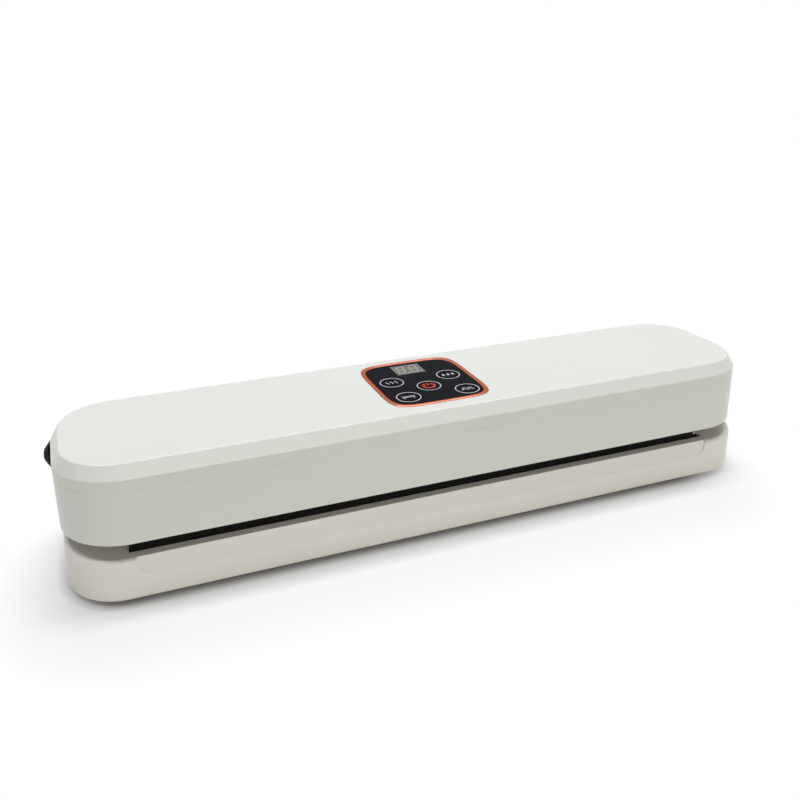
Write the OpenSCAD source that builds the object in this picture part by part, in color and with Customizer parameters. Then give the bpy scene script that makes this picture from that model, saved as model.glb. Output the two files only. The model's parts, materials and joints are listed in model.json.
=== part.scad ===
// Household vacuum sealer: a thin base tray and a heavy hinged lid that holds
// the pump, the heater and the control panel. Millimetres, +Z up, front on -Y.
// The origin is on the table under the middle of the base tray.
// Lid pieces are drawn with the lid shut and then tilted about the hinge.

/* [Base tray] */
// Length of the base tray
base_len = 360; // [330:1:400]
// Depth of the base tray, front to back
base_depth = 84.7; // [80:0.1:96]
// Height of the tray housing, from its lower edge to the deck
base_h = 19.9; // [19:0.1:24]
// Corner radius of the tray in plan
base_corner_r = 24.8; // [20:0.1:30]
// Inward lean of the tray's wall over its height
base_lean = 1.6; // [0:0.1:2]
// Radius of the rounded edge round the deck
base_edge_r = 2.3; // [1:0.1:2.5]
// Wall thickness of the tray
base_wall = 2.6; // [2:0.1:3]
// Height of the rubber feet
foot_h = 1.5; // [1:0.1:3]

/* [Lid] */
// Length of the lid at its lower rim
lid_len = 357.9; // [328:0.1:398]
// Depth of the lid at its lower rim
lid_depth = 81.1; // [78:0.1:92]
// Corner radius of the lid's lower rim
lid_corner_r = 29; // [26:0.1:32]
// Gap between deck and rim when the lid is shut
shut_gap = 1; // [0.8:0.1:2]
// Height of the lid's side wall, from the rim to the chamfer
lid_wall_h = 30.1; // [28:0.1:36]
// Inward lean of the side wall over that height
lid_wall_lean = 0.9; // [0:0.1:2]
// Height of the chamfer round the top
lid_chamfer_h = 6; // [4:0.1:7]
// Width of the chamfer in plan
lid_chamfer_w = 3.8; // [2:0.1:5]
// Distance from the chamfer down to the parting line
parting_drop = 5.4; // [4:0.1:8]
// Wall thickness of the lid
lid_wall = 2.5; // [2:0.1:3]
// Angle at which the lid stands ajar
lid_ajar = 4.5; // [0:0.5:50]

/* [Sealing parts] */
// Length of the silicone press strip
strip_len = 298.2; // [280:0.1:300]
// Width of the press strip
strip_w = 4; // [3:0.1:4.5]
// Height that the press strip stands above the deck
strip_proud = 5.3; // [4:0.1:5.6]
// Depth of the vacuum trough below the deck
trough_depth = 8; // [5:0.1:9]
// Width of the foam gaskets
gasket_w = 4; // [3:0.1:5]
// Length of the finger scoop in the front edge
scoop_len = 299.4; // [280:0.1:302]
// Height of the finger scoop below the deck
scoop_h = 8.6; // [6.6:0.1:10]

/* [Control panel] */
// Width of the panel's copper bezel
panel_w = 53.8; // [51:0.1:56]
// Depth of the panel's copper bezel, front to back
panel_d = 58.6; // [57:0.1:62]
// Width of the bezel's rim
bezel_w = 2.3; // [1.5:0.1:3]
// Radius of the round keys
key_r = 6.4; // [6:0.1:6.6]
// Travel of the keys
key_travel = 0.5; // [0.3:0.05:0.5]

/* [Hinge and lead entry] */
// Radius of the hinge knuckles
knuckle_r = 3; // [2.6:0.1:3.2]
// Radius of the steel hinge pins
hinge_pin_r = 1.5; // [1:0.1:1.8]
// Largest radius of the conical cord gland
gland_r = 7.0; // [5:0.1:8]
// Radius of the hole for the mains lead
cord_r = 2.7; // [2:0.1:3]

/* [Hidden] */
$fn = 72;

white = "#dcdcd4";
cream = "#cfc9b8";
black = "#1b1b1d";
copper = "#c8643c";
steel = "#b6b8bb";
green = "#2f6b46";

eps = 0.01;
fit_gap = 0.2;

// Levels of the base tray.
base_z = foot_h;
deck_z = base_z + base_h;
base_cx = base_len / 2 - base_corner_r;
base_cy = base_depth / 2 - base_corner_r;
function base_r(z) = base_corner_r - base_lean * (z - base_z) / base_h;
deck_t = 2.4;
cover_t = 1.8;
front_bar_y = [-40, -28.3];
front_bar_z = deck_z - 10.9;

// Levels of the shut lid.
rim_z = deck_z + shut_gap;
chamfer_z = rim_z + lid_wall_h;
top_z = chamfer_z + lid_chamfer_h;
parting_z = chamfer_z - parting_drop;
lid_cx = lid_len / 2 - lid_corner_r;
lid_cy = lid_depth / 2 - lid_corner_r;
ceiling_z = top_z - lid_wall;
function lid_r(z) = lid_corner_r - lid_wall_lean * (z - rim_z) / lid_wall_h;

// Hinge axis, along X, just behind both shells.
hinge_y = base_depth / 2 - 0.4;
hinge_z = rim_z;
knuckle_w = 7.2;
knuckle_gap = 0.4;
hinge_x = 110;
knuckle_pitch = knuckle_w + 2 * knuckle_gap;
notch_r = knuckle_r + 0.4;

// Sealing line and vacuum chamber.
strip_y = -32.9;
strip_x = -3.1;
slot_len = 303.8;
slot_x = -0.6;
slot_w = 4.8;
slot_floor_z = deck_z - 8.9;
strip_foot_z = deck_z - 1;
strip_foot_gap = 0.15;
trough_y = -2;
trough_len = 300;
trough_w = 34;
ring_y = -2;
ring_cx = 148;
ring_cy = 15;
ring_r = 8;
groove_depth = 1.4;
foam_gap = 0.4;

// Lid floor and the heater that hangs through it.
floor_z = rim_z + 6.6;
floor_t = 2;
floor_top = floor_z + floor_t;
tape_t = 0.2;
ribbon_t = 0.3;
tape_z = deck_z + strip_proud + foam_gap;
heater_len = 302;
heater_w = 6;
heater_z = tape_z + tape_t + ribbon_t;
foam_split_z = (deck_z + floor_z) / 2;

// Control panel.
bezel_z = top_z - 1.5;
fascia_top = top_z + 0.05;
panel_y = 0.75;
ledge_w = bezel_w + 0.3;
window_x = [-9, 6.5];
window_y = [12.2, 25];
board_top = top_z - 7.9;
board_t = 1.6;
board_half = [30, 28];
board_post = [27.4, 22];
KEYS = [[0, -7], [15.1, 3.4], [16, -17.7], [-14.9, -16.8], [-15.8, 3.8]];

// Pump, with its motor shaft along X.
pump_y = 8;
pump_z = 44;
motor_x = 62;
motor_len = 32;
motor_r = 12;
shaft_r = 1;
crank_x = 97.5;
crank_throw = 2;
head_x = [96, 120];
head_y = [-5, 20];
head_z = [33.5, 54.5];
head_cavity_r = 8.6;
valve_y = [-15.4, -7.2];
diaphragm_y = [-7.2, -5];
nipple_y = -11.3;
port_x = 141;
hose_bend_r = 9;
hose_r = 2.6;
nipple_r = 1.6;
vent = [30, -6];

// Lead entry through the left end wall, and the power board behind it.
gland_y = 18.5;
gland_z = 43;
gland_wall = lid_r(gland_z);
gland_turn = asin((gland_y - lid_cy) / gland_wall);
gland_tip = 4;
gland_seat = 0.8;
gland_gap = 0.3;
gland_neck = 3.9;
gland_hole = 4.5;
gland_back = gland_r - 0.9;
pcb_x = [-142, -58];
pcb_y = [-24, 24];
pcb_z = 34.5;

// Floor screws: x, y of each boss.
LID_BOSSES = [[-166, -4], [166, -4], [-130, 31], [-50, 31], [50, 31], [130, 31]];
BASE_BOSSES = [[-166, 0, 19], [166, 0, 19], [-90, 29, 19], [90, 29, 19], [-90, -34, 0], [90, -34, 0]];

// ---- helpers ---------------------------------------------------------------

// Sweeps a profile, drawn as (distance from the corner centre, height), round
// a rounded rectangle whose corner centres are at (+-cx, +-cy).
module around(cx, cy) {
    for (q = [0:3]) {
        along_x = q % 2 == 0;
        a = along_x ? cx : cy;
        b = along_x ? cy : cx;
        rotate(90 * q) {
            translate([a, b, 0]) rotate_extrude(angle = 90) children();
            translate([a, b, 0]) rotate([90, 0, 0]) linear_extrude(2 * b) children();
        }
    }
}

// A plate with the same plan, of radius r at its corners.
module plate(cx, cy, r, z0, z1) {
    around(cx, cy) translate([0, z0]) square([r, z1 - z0]);
    translate([-cx, -cy, z0]) cube([2 * cx, 2 * cy, z1 - z0]);
}

function quarter(cx, cy, r, from, steps = 6) =
    [for (i = [0:steps]) [cx + r * cos(from - 90 * i / steps), cy + r * sin(from - 90 * i / steps)]];

// Outline with bowed sides and soft corners.
function bowed(half_w, half_d, n = 5.5, steps = 72) =
    [for (i = [0:steps - 1])
        let (a = 360 * i / steps, c = cos(a), s = sin(a))
        [half_w * sign(c) * pow(abs(c), 2 / n), half_d * sign(s) * pow(abs(s), 2 / n)]];

// The panel's outline, drawn in by the inset given.
module panel_outline(inset) {
    translate([0, panel_y]) polygon(bowed(panel_w / 2 - inset, panel_d / 2 - inset));
}

module box(x, y, z) {
    translate([x[0], y[0], z[0]]) cube([x[1] - x[0], y[1] - y[0], z[1] - z[0]]);
}

module rod_x(x, y, z, r) {
    translate([x[0], y, z]) rotate([0, 90, 0]) cylinder(h = x[1] - x[0], r = r);
}

// Turns the lid's pieces up about the hinge.
module ajar() {
    translate([0, hinge_y, hinge_z]) rotate([-lid_ajar, 0, 0])
        translate([0, -hinge_y, -hinge_z]) children();
}

// Places pieces drawn along -X from the centre of the rear left corner's arc.
module at_gland() {
    translate([-lid_cx, lid_cy, gland_z]) rotate(-gland_turn) children();
}

// A square-sectioned lead through a list of points, with mitre-like overlaps at its bends.
module lead(points, half) {
    last = len(points) - 2;
    for (i = [0:last]) {
        d = points[i + 1] - points[i];
        reach = norm(d);
        start = i > 0 ? half : 0;
        stop = i < last ? half : 0;
        translate(points[i]) rotate([0, acos(d[2] / reach), atan2(d[1], d[0])])
            translate([-half, -half, -start]) cube([2 * half, 2 * half, reach + start + stop]);
    }
}

// Knuckles of both hinges: side 0 is the base's pair, side 1 the lid's middle one.
module knuckles(side, r, extra) {
    for (s = [-1, 1], k = side == 0 ? [-1, 1] : [0])
        rod_x([s * hinge_x + k * knuckle_pitch - knuckle_w / 2 - extra,
               s * hinge_x + k * knuckle_pitch + knuckle_w / 2 + extra], hinge_y, hinge_z, r);
}

module knuckle_webs(side, y0, z0, z1) {
    for (s = [-1, 1], k = side == 0 ? [-1, 1] : [0]) {
        x = s * hinge_x + k * knuckle_pitch;
        box([x - knuckle_w / 2, x + knuckle_w / 2], [y0, hinge_y], [z0, z1]);
    }
}

module pin_holes(r) {
    for (s = [-1, 1]) rod_x([s * hinge_x - 20, s * hinge_x + 20], hinge_y, hinge_z, r);
}

// ---- base tray ---------------------------------------------------------------

// Wedge cut along the front edge that lets fingers reach under the lid.
module finger_scoop() {
    corner = 6.5;
    front = -base_cy - base_r(deck_z - scoop_h);
    back = -base_depth / 2 + 3.7;
    slope = scoop_h / (back - front);
    intersection() {
        translate([-base_len / 2, 0, 0]) rotate([90, 0, 90]) linear_extrude(base_len)
            polygon([[front - 2, deck_z - scoop_h - 2 * slope], [back + eps / slope, deck_z + eps],
                     [back, deck_z + 2], [front - 2, deck_z + 2]]);
        translate([0, 0, deck_z - scoop_h]) rotate([90, 0, 0]) linear_extrude(base_depth)
            polygon(concat(
                [[scoop_len / 2, scoop_h + 2]],
                quarter(scoop_len / 2 - corner, corner, corner, 0),
                quarter(-scoop_len / 2 + corner, corner, corner, -90),
                [[-scoop_len / 2, scoop_h + 2]]));
    }
}

module base_shell() {
    r0 = base_r(base_z);
    r1 = base_r(deck_z);
    around(base_cx, base_cy) polygon(concat(
        [[0, deck_z - deck_t], [0, deck_z]],
        quarter(r1 - base_edge_r, deck_z - base_edge_r, base_edge_r, 90),
        [[r0, base_z + 0.8], [r0 - 0.8, base_z], [r0 - base_wall, base_z], [r1 - base_wall, deck_z - deck_t]]));
    translate([-base_cx, -base_cy, deck_z - deck_t]) cube([2 * base_cx, 2 * base_cy, deck_t]);
}

module gasket_ring(w, z0, z1) {
    translate([0, ring_y, 0]) around(ring_cx, ring_cy)
        translate([ring_r - w / 2, z0]) square([w, z1 - z0]);
}

module base_housing() {
    trough_floor = deck_z - trough_depth;
    color(cream) difference() {
        union() {
            base_shell();
            box([-157, 157], front_bar_y, [front_bar_z, deck_z - eps]);
            box([-trough_len / 2 - 2, trough_len / 2 + 2],
                [trough_y - trough_w / 2 - 2, trough_y + trough_w / 2 + 2], [trough_floor - 2, deck_z - eps]);
            for (b = BASE_BOSSES) translate([b[0], b[1], base_z + cover_t])
                cylinder(h = (b[2] > 0 ? b[2] : front_bar_z) - base_z - cover_t + eps, r = 3.5);
            knuckles(0, knuckle_r, 0);
            knuckle_webs(0, hinge_y - 5, base_z + 12, hinge_z);
        }
        finger_scoop();
        box([slot_x - slot_len / 2, slot_x + slot_len / 2],
            [strip_y - slot_w / 2, strip_y + slot_w / 2], [slot_floor_z, deck_z + 1]);
        translate([0, trough_y, 0])
            plate(trough_len / 2 - 5, trough_w / 2 - 5, 5, trough_floor, deck_z + 1);
        gasket_ring(gasket_w, deck_z - groove_depth, deck_z + 1);
        knuckles(1, notch_r, knuckle_gap);
        pin_holes(hinge_pin_r);
        for (b = BASE_BOSSES) translate([b[0], b[1], 0]) cylinder(h = 9.2, r = 1.4);
    }
}

module base_bottom_cover() {
    color("#c2bcab") difference() {
        plate(base_cx, base_cy, base_r(base_z + cover_t) - base_wall - fit_gap, base_z, base_z + cover_t);
        for (b = BASE_BOSSES) translate([b[0], b[1], base_z - 1]) {
            cylinder(h = 4, r = 1.6);
            cylinder(h = 2, r = 3.2);
        }
    }
}

module base_cover_screws() {
    color(steel) for (b = BASE_BOSSES) translate([b[0], b[1], base_z + 1]) difference() {
        union() {
            translate([0, 0, -0.9]) cylinder(h = 0.9, r = 2.9);
            cylinder(h = 6.2, r = 1.4);
        }
        translate([-0.4, -1.8, -1]) cube([0.8, 3.6, 0.6]);
        translate([-1.8, -0.4, -1]) cube([3.6, 0.8, 0.6]);
    }
}

module rubber_feet() {
    color(black) for (x = [-150, 0, 150], y = [-24, 24]) translate([x, y, 0])
        rotate_extrude() polygon([[0, 0], [6.4, 0], [7, 0.6], [7, foot_h], [0, foot_h]]);
}

module press_strip() {
    h = deck_z + strip_proud;
    foot = slot_len / 2 - strip_foot_gap;
    color(black) {
        translate([strip_x - strip_len / 2, strip_y, 0]) rotate([90, 0, 90]) linear_extrude(strip_len)
            polygon([[-strip_w / 2, strip_foot_z - eps], [strip_w / 2, strip_foot_z - eps], [strip_w / 2, h - 0.8],
                     [strip_w / 2 - 0.8, h], [-strip_w / 2 + 0.8, h], [-strip_w / 2, h - 0.8]]);
        box([slot_x - foot, slot_x + foot],
            [strip_y - slot_w / 2 + strip_foot_gap, strip_y + slot_w / 2 - strip_foot_gap],
            [slot_floor_z, strip_foot_z]);
    }
}

module lower_gasket() {
    color("#2a2a2c") gasket_ring(gasket_w, deck_z - groove_depth, foam_split_z - foam_gap / 2);
}

module hinge_pins() {
    reach = knuckle_pitch + knuckle_w / 2 - 0.3;
    color(steel) for (s = [-1, 1])
        rod_x([s * hinge_x - reach, s * hinge_x + reach], hinge_y, hinge_z, hinge_pin_r);
}

// ---- lid shells ---------------------------------------------------------------

module lid_top_cover() {
    r0 = lid_r(parting_z);
    r1 = lid_r(chamfer_z);
    r2 = r1 - lid_chamfer_w;
    soft = 0.9;
    color(white) ajar() difference() {
        union() {
            around(lid_cx, lid_cy) polygon([
                [0, ceiling_z], [0, top_z], [r2 - soft, top_z], [r2 - soft * 0.35, top_z - soft * 0.2],
                [r2 + soft * 0.3, top_z - soft * 0.8], [r1 - soft * 0.25, chamfer_z + soft * 0.4],
                [r1 - 0.03, chamfer_z - soft * 0.4], [r0, parting_z + 0.3], [r0 - 0.3, parting_z],
                [r0 - lid_wall, parting_z], [r1 - lid_wall, chamfer_z - 0.6], [r2 - lid_wall + 0.8, ceiling_z]]);
            translate([-lid_cx, -lid_cy, ceiling_z]) cube([2 * lid_cx, 2 * lid_cy, lid_wall]);
            for (b = LID_BOSSES) translate([b[0], b[1], floor_top])
                cylinder(h = ceiling_z - floor_top + 0.5, r = 3.5);
            for (x = [-1, 1], y = [-1, 1]) translate([x * board_post[0], y * board_post[1], board_top])
                cylinder(h = ceiling_z - board_top + 0.5, r = 2.4);
        }
        for (b = LID_BOSSES) translate([b[0], b[1], floor_z]) cylinder(h = 12, r = 1.2);
        for (x = [-1, 1], y = [-1, 1]) translate([x * board_post[0], y * board_post[1], board_top - 1])
            cylinder(h = 5.5, r = 1);
        translate([0, 0, bezel_z]) linear_extrude(3) panel_outline(0);
        translate([0, 0, ceiling_z - 1]) linear_extrude(4) panel_outline(ledge_w);
    }
}

module lid_housing() {
    r0 = lid_r(rim_z);
    r1 = lid_r(parting_z);
    ledge = 1.2;
    color(white) ajar() difference() {
        union() {
            around(lid_cx, lid_cy) polygon([
                [r0 - 0.5, rim_z], [r0, rim_z + 0.5], [r1, parting_z - 0.3], [r1 - 0.3, parting_z],
                [r1 - lid_wall, parting_z], [lid_r(floor_top + 1.5) - lid_wall, floor_top + 1.5],
                [lid_r(floor_top) - lid_wall - ledge, floor_top + 1.5],
                [lid_r(floor_top) - lid_wall - ledge, floor_top],
                [lid_r(floor_top) - lid_wall, floor_top], [r0 - lid_wall, rim_z]]);
            knuckles(1, knuckle_r, 0);
            knuckle_webs(1, hinge_y - 3.5, hinge_z, hinge_z + 5);
        }
        knuckles(0, notch_r, knuckle_gap);
        pin_holes(hinge_pin_r + 0.05);
        at_gland() rod_x([-gland_wall - 2, -gland_wall + 6], 0, 0, gland_hole);
    }
}

module lid_floor() {
    r = lid_r(floor_top) - lid_wall - fit_gap;
    color("#d6d5cd") ajar() difference() {
        plate(lid_cx, lid_cy, r, floor_z, floor_top);
        box([-heater_len / 2 - fit_gap, heater_len / 2 + fit_gap],
            [strip_y - heater_w / 2 - fit_gap, strip_y + heater_w / 2 + fit_gap], [floor_z - 1, floor_top + 1]);
        for (b = LID_BOSSES) translate([b[0], b[1], floor_z - 1]) cylinder(h = 4, r = 1.4);
        translate([port_x, nipple_y, floor_z - 1]) cylinder(h = 4, r = 2.6);
        translate([vent[0], vent[1], floor_z - 1]) cylinder(h = 4, r = 2.1);
    }
}

module lid_floor_screws() {
    color(steel) ajar() for (b = LID_BOSSES) translate([b[0], b[1], floor_z]) difference() {
        union() {
            translate([0, 0, -1.6]) cylinder(h = 1.6, r = 2.8);
            cylinder(h = 9, r = 1.2);
        }
        translate([-0.4, -1.8, -1.8]) cube([0.8, 3.6, 1]);
        translate([-1.8, -0.4, -1.8]) cube([3.6, 0.8, 1]);
    }
}

// ---- heater and upper gasket ----------------------------------------------------

module heater_bar() {
    color("#8d8a80") ajar() {
        box([-heater_len / 2, heater_len / 2], [strip_y - heater_w / 2, strip_y + heater_w / 2],
            [heater_z, floor_top + eps]);
        box([-heater_len / 2 + 4, heater_len / 2 - 4], [strip_y - 3.4, strip_y + 4.3],
            [floor_top, floor_top + 3]);
    }
}

module heating_strip() {
    color(steel) ajar()
        box([-heater_len / 2 + 1, heater_len / 2 - 1], [strip_y - 1.5, strip_y + 1.5],
            [tape_z + tape_t, heater_z]);
}

module ptfe_tape() {
    color("#b08d5c") ajar()
        box([-heater_len / 2, heater_len / 2], [strip_y - heater_w / 2, strip_y + heater_w / 2],
            [tape_z, tape_z + tape_t]);
}

module thermal_cutoff() {
    color("#c9c2ae") ajar() rod_x([-9, 9], strip_y + 0.5, floor_top + 3 + 2.2, 2.2);
}

module upper_gasket() {
    color("#2a2a2c") ajar() gasket_ring(gasket_w, foam_split_z + foam_gap / 2, floor_z);
}

// ---- control panel ---------------------------------------------------------------

module panel_bezel() {
    color(copper) ajar() difference() {
        union() {
            translate([0, 0, bezel_z]) linear_extrude(1.6) panel_outline(0.1);
            translate([0, 0, bezel_z + 1.6]) linear_extrude(0.3) panel_outline(0.5);
        }
        translate([0, 0, bezel_z - 1]) linear_extrude(4) panel_outline(bezel_w);
    }
}

module panel_fascia() {
    color(black) ajar() difference() {
        translate([0, 0, bezel_z]) linear_extrude(fascia_top - bezel_z) panel_outline(bezel_w + 0.1);
        for (k = KEYS) translate([k[0], k[1], bezel_z - 1]) cylinder(h = 4, r = key_r + 0.3);
        box(window_x, window_y, [bezel_z - 1, fascia_top + 1]);
    }
}

module display_window() {
    color("#8b8b8b") ajar() box(
        [window_x[0] + 0.1, window_x[1] - 0.1], [window_y[0] + 0.1, window_y[1] - 0.1],
        [bezel_z, fascia_top - 0.1]);
}

module display_module() {
    color("#3a3a3c") ajar() difference() {
        box([window_x[0] - 0.6, window_x[1] + 0.6], [window_y[0] - 0.6, window_y[1] + 0.4],
            [board_top, bezel_z - 0.3]);
        for (x = [-4.6, 2.1]) translate([x, (window_y[0] + window_y[1]) / 2, bezel_z - 1])
            for (s = [-1, 0, 1]) translate([-1.5, s * 3.6 - 0.3, 0]) cube([3, 0.6, 2]);
    }
}

module control_board() {
    color(green) ajar() difference() {
        box([-board_half[0], board_half[0]], [-board_half[1], board_half[1]], [board_top - board_t, board_top]);
        for (x = [-1, 1], y = [-1, 1]) translate([x * board_post[0], y * board_post[1], board_top - 3])
            cylinder(h = 4, r = 1.2);
    }
}

module control_board_screws() {
    color(steel) ajar() for (x = [-1, 1], y = [-1, 1])
        translate([x * board_post[0], y * board_post[1], board_top - board_t]) {
            translate([0, 0, -1.4]) cylinder(h = 1.4, r = 2.1);
            cylinder(h = 5, r = 1);
        }
}

module tact_switches() {
    color("#454548") ajar() for (k = KEYS) translate([k[0], k[1], board_top]) {
        translate([-3, -3, 0]) cube([6, 6, 3.1]);
        cylinder(h = 3.6, r = 1.7);
    }
}

module key(i) {
    stem_z = board_top + 3.6 + key_travel + 0.3;
    color("#26262a") ajar() translate([KEYS[i][0], KEYS[i][1], 0]) rotate_extrude() polygon([
        [0, stem_z], [2.2, stem_z], [2.2, bezel_z - 1.1], [key_r + 0.6, bezel_z - 1.1],
        [key_r + 0.6, bezel_z - 0.35], [key_r, bezel_z - 0.35], [key_r, fascia_top - 0.05],
        [key_r - 0.15, fascia_top + 0.1], [0, fascia_top + 0.1]]);
}

module power_key() { key(0); }
module moist_key() { key(1); }
module pulse_key() { key(2); }
module seal_key() { key(3); }
module dry_key() { key(4); }

// ---- pump ---------------------------------------------------------------

module pump_motor() {
    color(steel) ajar() difference() {
        union() {
            rod_x([motor_x, motor_x + motor_len], pump_y, pump_z, motor_r - 0.7);
            rod_x([motor_x - 1.6, motor_x], pump_y, pump_z, 4);
            rod_x([motor_x + motor_len, motor_x + motor_len + 1.5], pump_y, pump_z, 4);
        }
        rod_x([motor_x + 4, motor_x + motor_len + 3], pump_y, pump_z, shaft_r + 0.05);
    }
}

module pump_crank() {
    color("#d9d9d6") ajar() {
        rod_x([motor_x + 5, crank_x + 3.5], pump_y, pump_z, shaft_r);
        rod_x([crank_x, crank_x + 4], pump_y, pump_z, 6);
        rod_x([crank_x + 4 - eps, crank_x + 10], pump_y + crank_throw, pump_z, 2);
    }
}

module pump_head() {
    color("#3b3b3e") ajar() difference() {
        box(head_x, head_y, head_z);
        rod_x([head_x[0] - 1, head_x[1] - 3], pump_y, pump_z, head_cavity_r);
        box([crank_x + 4.8, crank_x + 9.2], [head_y[0] - 1, pump_y], [pump_z - 2.3, pump_z + 2.3]);
    }
}

module pump_rod() {
    color("#cfcfca") ajar() difference() {
        union() {
            rod_x([crank_x + 5.2, crank_x + 8.8], pump_y, pump_z, 6.6);
            box([crank_x + 5.2, crank_x + 8.8], [head_y[0], pump_y], [pump_z - 1.8, pump_z + 1.8]);
        }
        rod_x([crank_x + 4, crank_x + 10], pump_y, pump_z, crank_throw + 2 + 0.5);
    }
}

module pump_diaphragm() {
    x = (head_x[0] + head_x[1]) / 2;
    color(black) ajar() translate([x, diaphragm_y[1], pump_z]) rotate([90, 0, 0])
        cylinder(h = diaphragm_y[1] - diaphragm_y[0], r = 9.6);
}

module pump_valve_cover() {
    color("#3b3b3e") ajar() difference() {
        union() {
            box(head_x, valve_y, head_z);
            rod_x([head_x[1] - eps, head_x[1] + 7], nipple_y, pump_z, nipple_r);
        }
        rod_x([head_x[0] + 6, head_x[1] + 8], nipple_y, pump_z, 0.9);
    }
}

module pump_bracket() {
    color(steel) ajar() difference() {
        union() {
            box([motor_x + 6, motor_x + 26], [pump_y - 15, pump_y + 15], [floor_top + 1.2, floor_top + 2.2]);
            for (s = [-1, 1]) box([motor_x + 6, motor_x + 26],
                [pump_y + s * 12.6 - 0.6, pump_y + s * 12.6 + 0.6], [floor_top + 1.2, pump_z + 4]);
        }
        rod_x([motor_x, motor_x + 40], pump_y, pump_z, motor_r - 0.65);
    }
}

module pump_rubber_mounts() {
    color(black) ajar() {
        for (x = [9, 23], y = [-9, 9])
            translate([motor_x + x, pump_y + y, floor_top]) cylinder(h = 1.2, r = 2.6);
        for (x = [102, 114], y = [0, 15]) translate([x, y, floor_top])
            cylinder(h = head_z[0] - floor_top, r = 2.6);
    }
}

module vacuum_port() {
    color("#e6e6e0") ajar() translate([port_x, nipple_y, 0]) difference() {
        union() {
            translate([0, 0, floor_z + 0.2]) cylinder(h = floor_top - floor_z, r = 2.5);
            translate([0, 0, floor_top]) cylinder(h = 1.4, r = 5);
            translate([0, 0, floor_top]) cylinder(h = 5.5, r = nipple_r);
        }
        translate([0, 0, floor_z - 1]) cylinder(h = 12, r = 0.9);
    }
}

module air_hose() {
    straight_x = port_x - hose_bend_r;
    low_z = floor_top + 1.4;
    color("#dfe3e0", 0.9) ajar() difference() {
        union() {
            rod_x([head_x[1], straight_x + eps], nipple_y, pump_z, hose_r);
            translate([straight_x, nipple_y, pump_z - hose_bend_r]) rotate([90, 0, 0])
                rotate_extrude(angle = 90) translate([hose_bend_r, 0]) circle(hose_r);
            translate([port_x, nipple_y, low_z]) cylinder(h = pump_z - hose_bend_r - low_z + eps, r = hose_r);
        }
        rod_x([head_x[1] - 1, straight_x + eps], nipple_y, pump_z, nipple_r);
        translate([straight_x, nipple_y, pump_z - hose_bend_r]) rotate([90, 0, 0])
            rotate_extrude(angle = 90) translate([hose_bend_r, 0]) circle(nipple_r);
        translate([port_x, nipple_y, low_z - 1]) cylinder(h = pump_z - hose_bend_r - low_z + 1, r = nipple_r);
    }
}

module vent_valve() {
    color("#c7b04a") ajar() translate([vent[0], vent[1], 0]) {
        translate([0, 0, floor_z + 0.2]) cylinder(h = floor_top - floor_z, r = 2);
        translate([0, 0, floor_top]) cylinder(h = 2, r = 6);
        translate([0, 0, floor_top + 2 - eps]) cylinder(h = 11, r = 4.6);
    }
}

// ---- power electronics ---------------------------------------------------------------

module power_board() {
    color(green) ajar() {
        box(pcb_x, pcb_y, [pcb_z, pcb_z + 1.6]);
        for (x = [pcb_x[0] + 5, pcb_x[1] - 5], y = [pcb_y[0] + 5, pcb_y[1] - 5])
            translate([x, y, floor_top]) cylinder(h = pcb_z - floor_top + eps, r = 2.5);
    }
}

module power_transformer() {
    color("#d8b545") ajar() {
        box([-122, -90], [-14, 14], [pcb_z + 1.6, pcb_z + 16]);
        box([-116, -96], [-17, 17], [pcb_z + 3.6, pcb_z + 13]);
    }
}

module power_relay() {
    color("#2c5ea8") ajar() box([-84, -66], [4, 19], [pcb_z + 1.6, pcb_z + 13]);
}

module power_capacitors() {
    color("#33343a") ajar() for (p = [[-76, -12, 5, 14], [-131, 12, 4, 12], [-131, -12, 4, 12]])
        translate([p[0], p[1], pcb_z + 1.6]) cylinder(h = p[3], r = p[2]);
}

module cord_gland() {
    inner = lid_wall + gland_seat;
    color(black) ajar() at_gland() translate([-gland_wall, 0, 0]) difference() {
        rotate([0, 90, 0]) rotate_extrude() polygon([
            [0, -gland_tip], [gland_r - 3.9, -gland_tip], [gland_r - 3.5, -gland_tip + 0.3],
            [gland_r, -1], [gland_r, -gland_gap], [gland_neck, -gland_gap],
            [gland_neck, inner], [gland_back, inner], [gland_back - 0.6, inner + 3], [0, inner + 3]]);
        rod_x([-gland_tip - 1, inner + 4], 0, 0, cord_r);
    }
}

module cord_clamp() {
    color("#3b3b3e") ajar() at_gland() difference() {
        box([-18, -10], [-10, 10], [floor_top - gland_z, 6]);
        rod_x([-20, -8], 0, 0, cord_r);
        for (s = [-1, 1]) translate([-14, s * 7, -6]) cylinder(h = 20, r = 1.3);
    }
}

module cord_clamp_screws() {
    color(steel) ajar() at_gland() for (s = [-1, 1]) translate([-14, s * 7, -5]) {
        cylinder(h = 11, r = 1.3);
        translate([0, 0, 11]) cylinder(h = 1.5, r = 2.4);
    }
}

module heater_leads() {
    z = floor_top + 8;
    color("#b23a32") ajar() {
        lead([[-152, strip_y + 6, floor_top], [-152, strip_y + 6, z], [-137, -22, z],
              [-137, -22, pcb_z + 1.6]], 0.9);
        lead([[152, strip_y + 6, floor_top], [152, strip_y + 6, z], [40, strip_y + 7, z],
              [-60, strip_y + 7, z], [-66, -21, z], [-66, -21, pcb_z + 1.6]], 0.9);
    }
}

module pump_leads() {
    color("#2b4fa0") ajar() for (s = [-1, 1])
        lead([[motor_x - 1.6, pump_y + s * 2.5, pump_z], [46, pump_y + s * 2.5, pump_z],
              [38, pump_y + s * 2.5, floor_top + 2], [-50, pump_y + s * 2.5, floor_top + 2],
              [-62, pump_y + s * 2.5 - 8, pcb_z + 6], [-62, pump_y + s * 2.5 - 8, pcb_z + 1.6]], 0.8);
}

module panel_cable() {
    color("#d8d8d2") ajar() {
        box([-60, -26], [-10, 2], [46.2, 47.1]);
        box([-28, -26], [-10, 2], [47.1 - eps, board_top - board_t]);
        box([-62.4, -60 + eps], [-12, -5], [pcb_z + 1.6, 47.1]);
    }
}

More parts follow.
